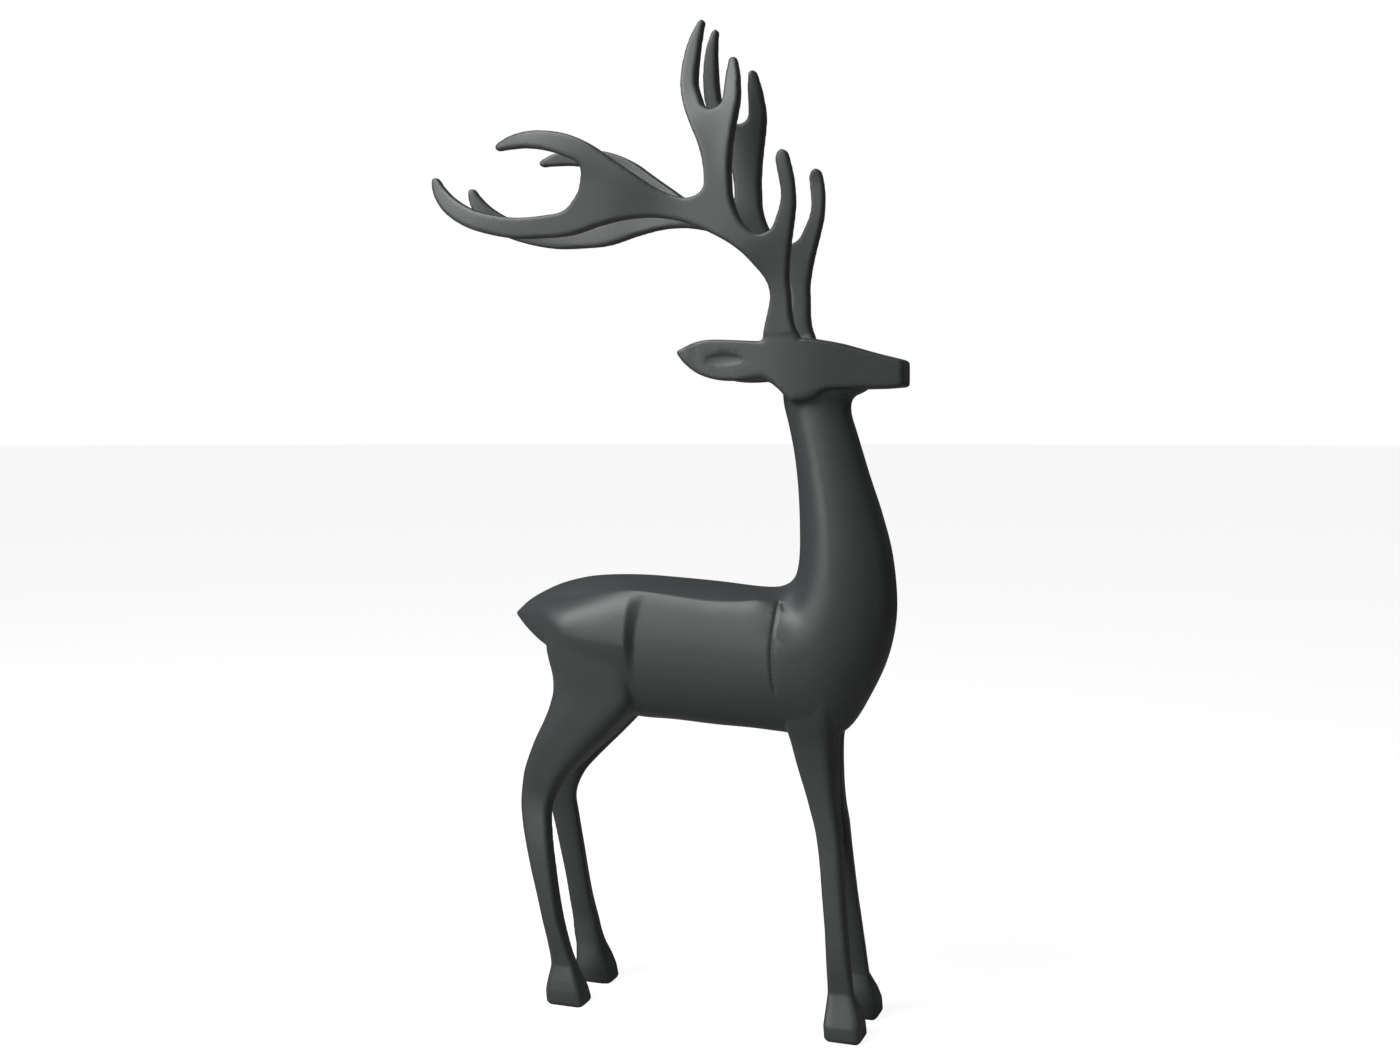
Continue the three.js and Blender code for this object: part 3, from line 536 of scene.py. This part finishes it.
def loft(name, rings):
    """A closed skin through rings of points: a circle is laid on the first ring, and its edges
    are extruded from each ring to the next."""
    deselect_all()
    bpy.ops.mesh.primitive_circle_add(vertices=len(rings[0]), radius=MM)
    piece = bpy.context.object
    piece.name = name
    bpy.ops.object.mode_set(mode="EDIT")
    edit = bmesh.from_edit_mesh(piece.data)
    ring_place = {v.index: k for k, v in enumerate(edit.verts)}
    for v in edit.verts:
        v.co = Vector(rings[0][ring_place[v.index]]) * MM
    bpy.ops.mesh.edge_face_add()
    for ring in rings[1:]:
        known = len(edit.verts)
        bpy.ops.mesh.extrude_edges_indiv()
        edit = bmesh.from_edit_mesh(piece.data)
        edit.verts.ensure_lookup_table()
        edit.verts.index_update()
        for v in edit.verts[known:]:
            before = next(e.other_vert(v) for e in v.link_edges if e.other_vert(v).index < known)
            ring_place[v.index] = ring_place[before.index]
            v.co = Vector(ring[ring_place[v.index]]) * MM
    bpy.ops.mesh.edge_face_add()
    bpy.ops.mesh.select_all(action="SELECT")
    bpy.ops.mesh.normals_make_consistent(inside=False)
    bpy.ops.object.mode_set(mode="OBJECT")
    return piece


def mirror_copy(piece):
    """Add the piece's mirror image across the plane y = 0."""
    apply_modifier(piece, "MIRROR", use_axis=(False, True, False), use_mirror_merge=False)


def between(low, high, value):
    """How far a value has come from low to high: 0 to 1, with soft ends."""
    share = min(max((value - low) / (high - low), 0), 1)
    return share * share * (3 - 2 * share)


def haunch_step(x, z):
    """1 behind the haunch's front edge, falling to 0 at the foot of its slanted step."""
    foot = HAUNCH_FOOT_X + HAUNCH_FOOT_CURVE * max(z - HAUNCH_FOOT_Z, 0) ** 2
    share = min(max((foot - x) / (foot - HAUNCH_EDGE_X), 0), 1)
    return share**HAUNCH_FOOT_SOFTNESS


def body_places():
    """Places along the body's table, closer together at the haunch's step."""
    return sorted({*steps(BODY_STATIONS), *np.linspace(*STEP_PLACES)})


def body_ring(t):
    """One section of the body: the back band, the full side below its crease, and the belly."""
    bx, bz, vx, vz, band, edge, side, full, haunch = rows_between(BODY_STATIONS, t)
    shares = [k / BAND_PARTS for k in range(BAND_PARTS + 1)]
    half = [(band * share, edge * share**BACK_CROWN) for share in shares]
    start = math.sin(UPPER_SIDE_START)
    for k in range(1, SIDE_PARTS + 1):
        a = UPPER_SIDE_START + (math.pi / 2 - UPPER_SIDE_START) * k / SIDE_PARTS
        out = (math.sin(a) - start) / (1 - start)
        s = edge + (full - edge) * (1 - math.cos(a) / math.cos(UPPER_SIDE_START))
        step = haunch_step(bx + (vx - bx) * s, bz + (vz - bz) * s)
        half.append((band + (side + haunch * step - band) * out, s))
    for k in range(1, BELLY_PARTS + 1):
        a = math.pi / 2 * k / BELLY_PARTS
        y = side * max(math.cos(a), 0) ** BELLY_FULLNESS
        s = full + (1 - full) * math.sin(a) ** BELLY_FULLNESS
        x = bx + (vx - bx) * s
        step = haunch_step(x, bz + (vz - bz) * s) * (1 - between(*HAUNCH_LOW, s))
        lean = HAUNCH_LEAN * (bz - vz) * (s - full)
        y += (haunch - lean + (side - y) * between(*HAUNCH_REAR, x)) * step
        half.append((y, s))
    right = [(bx + (vx - bx) * s, -y, bz + (vz - bz) * s) for y, s in half]
    left = [(x, -y, z) for x, y, z in right[1:-1]]
    return right + left[::-1]


def limb_ring(row):
    """One section of a leg: a rounded box whose rear and front have their own squareness."""
    rx, rz, fx, fz, outer, inner, rear, front, back, ahead = row
    ring = []
    for k in range(LEG_POINTS):
        a = 2 * math.pi * (k + 0.5) / LEG_POINTS
        power = 2 / (rear if math.cos(a) < 0 else front)
        along = 0.5 + 0.5 * math.copysign(abs(math.cos(a)) ** power, math.cos(a))
        across = 0.5 + 0.5 * math.copysign(abs(math.sin(a)) ** power, math.sin(a))
        y = outer + (inner - outer) * across
        x = rx + (fx - rx) * along + (ahead * along - back * (1 - along)) * across
        ring.append((x, -y, rz + (fz - rz) * along))
    return ring


def leg(name, stations, hoof):
    """A pair of legs with their hooves."""
    rings = [limb_ring(rows_between(stations, t)) for t in steps(stations)[:-1]]
    rings += [limb_ring(row) for row in hoof]
    piece = loft(name, rings)
    mirror_copy(piece)
    return piece


def flat_plate(name, outline, grain, passes):
    """A plate with a softened rim, standing on the plane y = 0: a circle is laid on the outline,
    filled and extruded."""
    deselect_all()
    bpy.ops.mesh.primitive_circle_add(vertices=len(outline), radius=MM)
    piece = bpy.context.object
    piece.name = name
    bpy.ops.object.mode_set(mode="EDIT")
    edit = bmesh.from_edit_mesh(piece.data)
    for v, (x, z) in zip(edit.verts, outline):
        v.co = Vector((x, FLAT / 2, z)) * MM
    bpy.ops.mesh.edge_face_add()
    bpy.ops.mesh.extrude_region_move(TRANSFORM_OT_translate={"value": (0, -FLAT * MM, 0)})
    bpy.ops.mesh.select_all(action="SELECT")
    bpy.ops.mesh.normals_make_consistent(inside=False)
    bpy.ops.object.mode_set(mode="OBJECT")
    apply_modifier(piece, "REMESH", mode="VOXEL", voxel_size=grain)
    smooth_piece(piece, passes)
    return piece


def vertex_places(piece):
    """The piece's points as an array, in millimetres."""
    places = np.empty(len(piece.data.vertices) * 3)
    piece.data.vertices.foreach_get("co", places)
    return places.reshape(-1, 3) / MM


def move_vertices(piece, places):
    """Put the piece's points at these places, in millimetres."""
    piece.data.vertices.foreach_set("co", (places * MM).ravel())
    piece.data.update()


def bend_plate(piece, place):
    """Bend and thin a flat plate: place(x, z) gives how far its middle stands from y = 0 and how
    thick it is."""
    at = vertex_places(piece)
    spread, thickness = place(at[:, 0], at[:, 2])
    at[:, 1] = -(spread - at[:, 1] / FLAT * thickness)
    move_vertices(piece, at)


def head_half_width(x):
    """Half width of the head, which begins to narrow at the antlers' feet."""
    past = x - ANTLER_FOOT_X
    eased = np.clip(past + HEAD_TAPER_BLEND, 0, None) ** 2 / (4 * HEAD_TAPER_BLEND)
    share = np.where(past > HEAD_TAPER_BLEND, past, eased) / (MUZZLE_X - ANTLER_FOOT_X)
    return HEAD_HALF_WIDTH + (MUZZLE_HALF_WIDTH - HEAD_HALF_WIDTH) * share


def antler_knots():
    """All the antler's knots as x, z, spread and thickness."""
    limbs = [FOOT, *TINES, UPRIGHT]
    knots = [[x, z, spread, thick] for limb in limbs for x, z, _, spread, thick in limb]
    forks = REAR_FORK + UPRIGHT_HEEL + TOP_FORK + BROW_FORK
    return np.array(knots + BEAM_UNDERSIDE + CREST + BROW_ROOT + forks)


def antler_place(x, z):
    """Spread and thickness of the antler: a smooth sheet laid close to all its knots. At its
    foot the outer face is in line with the side of the head."""
    knots = antler_knots()
    at = knots[:, :2]
    count = len(knots)

    def reach(points):
        far = ((points[:, None] - at) ** 2).sum(2)
        return np.hstack([np.sqrt(far + BLEND_REACH**2), np.ones((len(points), 1)), points])

    pull = np.zeros((count + 3, count + 3))
    pull[:count] = reach(at)
    pull[:count, :count] -= BLEND_SLACK * np.eye(count)
    pull[count:, :count] = pull[:count, count:].T
    wanted = np.vstack([knots[:, 2:], np.zeros((3, 2))])
    sheet = reach(np.column_stack([x, z])) @ np.linalg.solve(pull, wanted)
    spread, thickness = sheet.T
    above = np.clip(z - FOOT_TOP, 0, None) * FOOT_EASE
    in_line = head_half_width(x) - thickness / 2 + above
    return np.minimum(spread, in_line), thickness


def limb_edge(knots, side):
    """The points at one side of a limb's knots: 1 for the left of the way it runs, -1 the right.
    A tine ends in a round cap."""
    points = []
    for k, (x, z, width, *_) in enumerate(knots):
        before, after = knots[max(k - 1, 0)], knots[min(k + 1, len(knots) - 1)]
        way = Vector((after[0] - before[0], after[1] - before[1])).normalized()
        out = Vector((-way.y, way.x)) * side / 2
        if width:
            points.append(Vector((x, z)) + out * (width + RIM_ALLOWANCE))
        else:
            last = Vector(before[:2])
            tip = Vector((x, z)) + way * TIP_ALLOWANCE
            for share in TIP_CAP:
                wide = (before[2] + RIM_ALLOWANCE) * math.sqrt(1 - share**2)
                points.append(last + (tip - last) * share + out * wide)
            points.append(tip)
    return [list(point) for point in points]


def antler_outline():
    """The antler's edge as seen from the side, once round."""

    def up(knots):
        return limb_edge(knots, 1)

    def down(knots):
        return limb_edge(knots, -1)[::-1]

    def marks(rows):
        return [row[:2] for row in rows]

    # The upright's last knot marks only its rear edge
    runs = [
        up(FOOT) + marks(BEAM_UNDERSIDE) + up(REAR_TINE),
        down(REAR_TINE) + marks(REAR_FORK) + up(CREST_TINE),
        down(CREST_TINE) + marks(CREST + UPRIGHT_HEEL) + up(UPRIGHT) + up(HIGH_TINE),
        down(HIGH_TINE) + marks(TOP_FORK) + up(SECOND_TINE),
        down(SECOND_TINE) + down(UPRIGHT[:3]) + marks(BROW_FORK) + up(BROW_TINE),
        down(BROW_TINE) + marks(BROW_ROOT) + down(FOOT),
    ]
    return [point for run in runs for point in smooth_line(run)[:-1]]


def head_place(x, z):
    """The head's sides close in on the muzzle."""
    return 0 * x, 2 * head_half_width(x)


def ear_place(x, z):
    """The ear thins towards its tip."""
    share = np.clip((x - EAR_TIP[0]) / EAR_TAPER, EAR_TIP_SHARE, 1)
    return EAR_SPREAD + 0 * x, EAR_THICKNESS * share


def even_out(piece, place):
    """Even out both sides of the skin round one of EVEN_PLACES: fully up to half its reach, and
    less and less beyond."""
    at = vertex_places(piece)
    far = np.hypot(at[:, 0] - place["x"], at[:, 2] - place["z"]) / place["reach"]
    weights = np.clip(2 - 2 * far, 0, 1) * (np.abs(at[:, 1]) > place["beyond"])
    group = piece.vertex_groups.new(name=place["name"])
    for index in np.flatnonzero(weights):
        group.add([int(index)], float(weights[index]), "REPLACE")
    smooth_piece(piece, place["passes"], vertex_group=group.name)
    piece.vertex_groups.clear()


def press_groove(piece, groove):
    """Press a soft groove into both sides of the piece, along a path seen from the side."""
    at = vertex_places(piece)
    path = np.array(smooth_line(groove["path"]))
    xz = at[:, [0, 2]]
    low, high = path.min(0) - groove["half_width"], path.max(0) + groove["half_width"]
    near = ((xz > low) & (xz < high)).all(1)
    far = np.linalg.norm(xz[near][:, None] - path, axis=2)
    along = np.linalg.norm(np.diff(path, axis=0), axis=1)
    left = along.sum() - np.append(0, np.cumsum(along))
    fade = np.clip(left[far.argmin(1)] / groove["fade"], 0, 1)
    across = np.clip(far.min(1) / groove["half_width"], 0, 1)
    depth = groove["depth"] * fade * (0.5 + 0.5 * np.cos(math.pi * across))
    at[near, 1] -= np.sign(at[near, 1]) * depth
    move_vertices(piece, at)


def press_ear_hollow(piece):
    """Press the shallow hollow into the outer face of both ears; its upper wall is the steeper."""
    hollow = EAR_HOLLOW
    at = vertex_places(piece)
    u = (at[:, 0] - hollow["x"]) / (hollow["length"] / 2)
    w = (at[:, 2] - hollow["z"]) / (hollow["width"] / 2)
    reach = np.clip(1 - u**2 - w**2, 0, 1)
    outer = np.abs(at[:, 1]) > EAR_SPREAD
    deeper = 1 + hollow["tilt"] * np.clip(w, -1, 1)
    depth = hollow["depth"] * reach ** hollow["power"] * deeper * outer
    at[:, 1] -= np.sign(at[:, 1]) * depth
    move_vertices(piece, at)


def casting_settings():
    """How finely the casting is made."""
    return bpy.context.scene.stag_casting


class STAG_OT_body(bpy.types.Operator):
    """Model the body with its neck"""

    bl_idname = "stag.body"
    bl_label = "Body and neck"

    def execute(self, context):
        loft("stag_body", [body_ring(t) for t in body_places()])
        return {"FINISHED"}


class STAG_OT_legs(bpy.types.Operator):
    """Model the four legs with their hooves"""

    bl_idname = "stag.legs"
    bl_label = "Legs"

    def execute(self, context):
        leg("stag_hind_legs", HIND_LEG, HIND_HOOF)
        leg("stag_front_legs", FRONT_LEG, FRONT_HOOF)
        return {"FINISHED"}


class STAG_OT_head(bpy.types.Operator):
    """Model the head and the two ears"""

    bl_idname = "stag.head"
    bl_label = "Head and ears"

    def execute(self, context):
        made = casting_settings()
        head = flat_plate("stag_head", HEAD_OUTLINE, made.grain, HEAD_PASSES)
        bend_plate(head, head_place)
        outline = smooth_line(EAR_TOP + [EAR_TIP])[:-1] + smooth_line([EAR_TIP] + EAR_UNDER)
        ears = flat_plate("stag_ears", outline, made.grain, made.rim_passes)
        bend_plate(ears, ear_place)
        mirror_copy(ears)
        return {"FINISHED"}


class STAG_OT_antlers(bpy.types.Operator):
    """Model the two antlers as bent plates with soft rims"""

    bl_idname = "stag.antlers"
    bl_label = "Antlers"

    def execute(self, context):
        made = casting_settings()
        antlers = flat_plate("stag_antlers", antler_outline(), made.grain, made.rim_passes)
        bend_plate(antlers, antler_place)
        mirror_copy(antlers)
        return {"FINISHED"}


class STAG_OT_casting(bpy.types.Operator):
    """Fuse the parts into one casting, press its grooves and give it its finish"""

    bl_idname = "stag.casting"
    bl_label = "Fuse the casting"

    def execute(self, context):
        made = casting_settings()
        select_only(*(bpy.data.objects[name] for name in PARTS))
        bpy.ops.object.join()
        casting = bpy.context.object
        casting.name = "cast_stag"
        casting.data.name = "cast_stag"
        apply_modifier(casting, "REMESH", mode="VOXEL", voxel_size=made.grain)
        smooth_piece(casting, made.edge_passes)
        for place in EVEN_PLACES:
            even_out(casting, place)
        press_groove(casting, SHOULDER_GROOVE)
        press_groove(casting, SHOULDER_NICK)
        press_ear_hollow(casting)
        triangles = sum(len(face.vertices) - 2 for face in casting.data.polygons)
        ratio = made.most_triangles / triangles
        if ratio < 1:
            apply_modifier(casting, "DECIMATE", ratio=ratio)
        select_only(casting)
        bpy.ops.object.shade_smooth()
        casting.data.materials.clear()
        casting.data.materials.append(charcoal_finish())
        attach(casting, "root")
        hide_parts(NODE)
        return {"FINISHED"}


def new_group(name, inputs, outputs):
    """An empty shader node group with named number inputs and outputs."""
    group = bpy.data.node_groups.new(name, "ShaderNodeTree")
    for label, kind, value in inputs:
        socket = group.interface.new_socket(name=label, in_out="INPUT", socket_type=kind)
        socket.default_value = value
    for label, kind in outputs:
        group.interface.new_socket(name=label, in_out="OUTPUT", socket_type=kind)
    return group


def speckle_group():
    """Fine uneven grain in object space: a mask from 0 to 1."""
    group = new_group(
        "Fine grain",
        [("Size", "NodeSocketFloat", 1.0), ("Contrast", "NodeSocketFloat", 1.0)],
        [("Mask", "NodeSocketFloat")],
    )
    nodes, links = group.nodes, group.links
    given = nodes.new("NodeGroupInput")
    result = nodes.new("NodeGroupOutput")
    place = nodes.new("ShaderNodeTexCoord")
    pitch = nodes.new("ShaderNodeMath")
    pitch.operation = "DIVIDE"
    pitch.inputs[0].default_value = 1.0
    grain = nodes.new("ShaderNodeTexNoise")
    grain.inputs["Detail"].default_value = GRAIN_DETAIL
    grain.inputs["Roughness"].default_value = GRAIN_ROUGHNESS
    centre = nodes.new("ShaderNodeMath")
    centre.operation = "SUBTRACT"
    centre.inputs[1].default_value = GRAIN_MIDDLE
    scale = nodes.new("ShaderNodeMath")
    scale.operation = "MULTIPLY_ADD"
    scale.inputs[2].default_value = GRAIN_MIDDLE
    scale.use_clamp = True
    links.new(given.outputs["Size"], pitch.inputs[1])
    links.new(place.outputs["Object"], grain.inputs["Vector"])
    links.new(pitch.outputs[0], grain.inputs["Scale"])
    links.new(grain.outputs["Fac"], centre.inputs[0])
    links.new(centre.outputs[0], scale.inputs[0])
    links.new(given.outputs["Contrast"], scale.inputs[1])
    links.new(scale.outputs[0], result.inputs["Mask"])
    return group


def grain_mask(nodes, grain):
    """Place the fine grain group in a material, with a grain's size and contrast."""
    node = nodes.new("ShaderNodeGroup")
    node.node_tree = bpy.data.node_groups.get("Fine grain") or speckle_group()
    node.inputs["Size"].default_value, node.inputs["Contrast"].default_value = grain
    return node.outputs["Mask"]


def shaded_colour(nodes, links, mask, colour, shades):
    """A colour that goes from one shade of itself to another, by a mask."""
    node = nodes.new("ShaderNodeMix")
    node.data_type = "RGBA"
    for socket, shade in zip((MIX_A, MIX_B), shades):
        node.inputs[socket].default_value = (*(shade * c for c in colour), 1)
    links.new(mask, node.inputs[MIX_FACTOR])
    return node.outputs[MIX_RESULT]


def bump_node(nodes, links, mask, bump):
    """A bump with its strength and height, raised by a mask."""
    node = nodes.new("ShaderNodeBump")
    node.inputs["Strength"].default_value, node.inputs["Distance"].default_value = bump
    links.new(mask, node.inputs["Height"])
    return node


def charcoal_finish():
    """Satin charcoal on a cast surface: faint clouding, fine grain and slightly rubbed edges."""
    finish = bpy.context.scene.stag_finish
    material = bpy.data.materials.new("charcoal_finish")
    material.use_nodes = True
    nodes, links = material.node_tree.nodes, material.node_tree.links
    shader = nodes["Principled BSDF"]
    shader.inputs["IOR"].default_value = FINISH_IOR
    dust = grain_mask(nodes, DUST)
    cloudy = shaded_colour(
        nodes, links, grain_mask(nodes, CLOUDS), finish.colour, CLOUD_SHADES
    )

    shape = nodes.new("ShaderNodeNewGeometry")
    edges = nodes.new("ShaderNodeMapRange")
    edges.inputs["From Min"].default_value, edges.inputs["From Max"].default_value = EDGE_POINTINESS
    rubbed = nodes.new("ShaderNodeMix")
    rubbed.data_type = "RGBA"
    rubbed.inputs[MIX_B].default_value = (*finish.edge_colour, 1)
    links.new(shape.outputs["Pointiness"], edges.inputs["Value"])
    links.new(edges.outputs["Result"], rubbed.inputs[MIX_FACTOR])
    links.new(cloudy, rubbed.inputs[MIX_A])
    links.new(rubbed.outputs[MIX_RESULT], shader.inputs["Base Color"])

    gloss = nodes.new("ShaderNodeMapRange")
    gloss.inputs["To Min"].default_value = finish.roughness + ROUGHNESS_CHANGE[0]
    gloss.inputs["To Max"].default_value = finish.roughness + ROUGHNESS_CHANGE[1]
    links.new(dust, gloss.inputs["Value"])
    links.new(gloss.outputs["Result"], shader.inputs["Roughness"])

    wavy = bump_node(nodes, links, grain_mask(nodes, WAVES), WAVE_BUMP)
    grainy = bump_node(nodes, links, dust, DUST_BUMP)
    links.new(wavy.outputs["Normal"], grainy.inputs["Normal"])
    links.new(grainy.outputs["Normal"], shader.inputs["Normal"])
    return material


def floor_finish():
    """Plain pale floor with a faint grain."""
    stage = bpy.context.scene.stag_stage
    material = bpy.data.materials.new("pale_floor")
    material.use_nodes = True
    nodes, links = material.node_tree.nodes, material.node_tree.links
    shader = nodes["Principled BSDF"]
    shader.inputs["Roughness"].default_value = FLOOR_ROUGHNESS
    shader.inputs["Specular IOR Level"].default_value = 0.0
    shader.inputs["Emission Color"].default_value = WHITE
    path = nodes.new("ShaderNodeLightPath")
    seen = nodes.new("ShaderNodeMath")
    seen.operation = "MULTIPLY"
    seen.inputs[1].default_value = stage.floor_brightness
    links.new(path.outputs["Is Camera Ray"], seen.inputs[0])
    links.new(seen.outputs[0], shader.inputs["Emission Strength"])
    grain = grain_mask(nodes, FLOOR_GRAIN)
    tint = shaded_colour(nodes, links, grain, stage.floor_colour, FLOOR_SHADES)
    links.new(tint, shader.inputs["Base Color"])
    return material


def soft_light(name, place, power):
    """One square lamp that shines from its place towards the stag's middle."""
    lamp = bpy.data.lights.new(name, "AREA")
    lamp.shape = "SQUARE"
    lamp.size = LAMP_SIZE
    lamp.energy = power
    light = bpy.data.objects.new(name, lamp)
    bpy.context.collection.objects.link(light)
    light.location = place
    light.rotation_euler = (Vector(LAMP_AIM) - Vector(place)).to_track_quat("-Z", "Y").to_euler()


class STAG_OT_stage(bpy.types.Operator):
    """Lay the floor, set the soft lights and place the camera"""

    bl_idname = "stag.stage"
    bl_label = "Stage, light and camera"

    def execute(self, context):
        stage = context.scene.stag_stage
        deselect_all()
        bpy.ops.mesh.primitive_circle_add(
            vertices=FLOOR_CORNERS, radius=FLOOR_RADIUS, fill_type="NGON"
        )
        floor = context.object
        floor.name = "floor"
        floor.data.materials.append(floor_finish())

        world = bpy.data.worlds.new("pale_room")
        context.scene.world = world
        world.use_nodes = True
        nodes, links = world.node_tree.nodes, world.node_tree.links
        seen = nodes["Background"]
        seen.inputs["Color"].default_value = WHITE
        seen.inputs["Strength"].default_value = 1.0
        filling = nodes.new("ShaderNodeBackground")
        filling.inputs["Color"].default_value = FILL_COLOUR
        filling.inputs["Strength"].default_value = FILL_STRENGTH
        path = nodes.new("ShaderNodeLightPath")
        either = nodes.new("ShaderNodeMixShader")
        links.new(path.outputs["Is Camera Ray"], either.inputs[0])
        links.new(filling.outputs[0], either.inputs[1])
        links.new(seen.outputs[0], either.inputs[2])
        links.new(either.outputs[0], nodes["World Output"].inputs["Surface"])

        for name, place, power in LAMPS:
            soft_light(name, place, power)

        back = Vector((
            math.sin(stage.azimuth) * math.cos(stage.elevation),
            -math.cos(stage.azimuth) * math.cos(stage.elevation),
            math.sin(stage.elevation),
        ))
        data = bpy.data.cameras.new("camera")
        data.lens = stage.lens
        data.sensor_width = SENSOR_WIDTH
        data.clip_start, data.clip_end = CAMERA_CLIP
        camera = bpy.data.objects.new("camera", data)
        context.collection.objects.link(camera)
        camera.location = CAMERA_PLACE
        camera.rotation_euler = (-back).to_track_quat("-Z", "Y").to_euler()
        context.scene.camera = camera
        context.scene.view_settings.view_transform = "Standard"
        return {"FINISHED"}


class STAG_PT_panel(bpy.types.Panel):
    """Lists what the stag is made of"""

    bl_idname = "STAG_PT_panel"
    bl_label = "Standing stag"
    bl_space_type = "VIEW_3D"
    bl_region_type = "UI"
    bl_category = "Stag"

    def draw(self, context):
        scene = context.scene
        for settings in (scene.stag_casting, scene.stag_finish, scene.stag_stage):
            box = self.layout.box()
            for key in settings.__annotations__:
                box.prop(settings, key)
        for step in STEPS:
            self.layout.operator(step.bl_idname)


STEPS = [
    STAG_OT_stage, STAG_OT_body, STAG_OT_legs, STAG_OT_head, STAG_OT_antlers, STAG_OT_casting,
]
CLASSES = [CastingSettings, FinishSettings, StageSettings, *STEPS, STAG_PT_panel]


def register():
    for kind in CLASSES:
        bpy.utils.register_class(kind)
    bpy.types.Scene.stag_casting = bpy.props.PointerProperty(type=CastingSettings)
    bpy.types.Scene.stag_finish = bpy.props.PointerProperty(type=FinishSettings)
    bpy.types.Scene.stag_stage = bpy.props.PointerProperty(type=StageSettings)


def unregister():
    del bpy.types.Scene.stag_casting
    del bpy.types.Scene.stag_finish
    del bpy.types.Scene.stag_stage
    for kind in reversed(CLASSES):
        bpy.utils.unregister_class(kind)


def main():
    """Make the stage and the stag."""
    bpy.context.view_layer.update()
    register()
    bpy.ops.stag.stage()
    bpy.ops.stag.body()
    bpy.ops.stag.legs()
    bpy.ops.stag.head()
    bpy.ops.stag.antlers()
    bpy.ops.stag.casting()


if __name__ == "__main__":
    main()
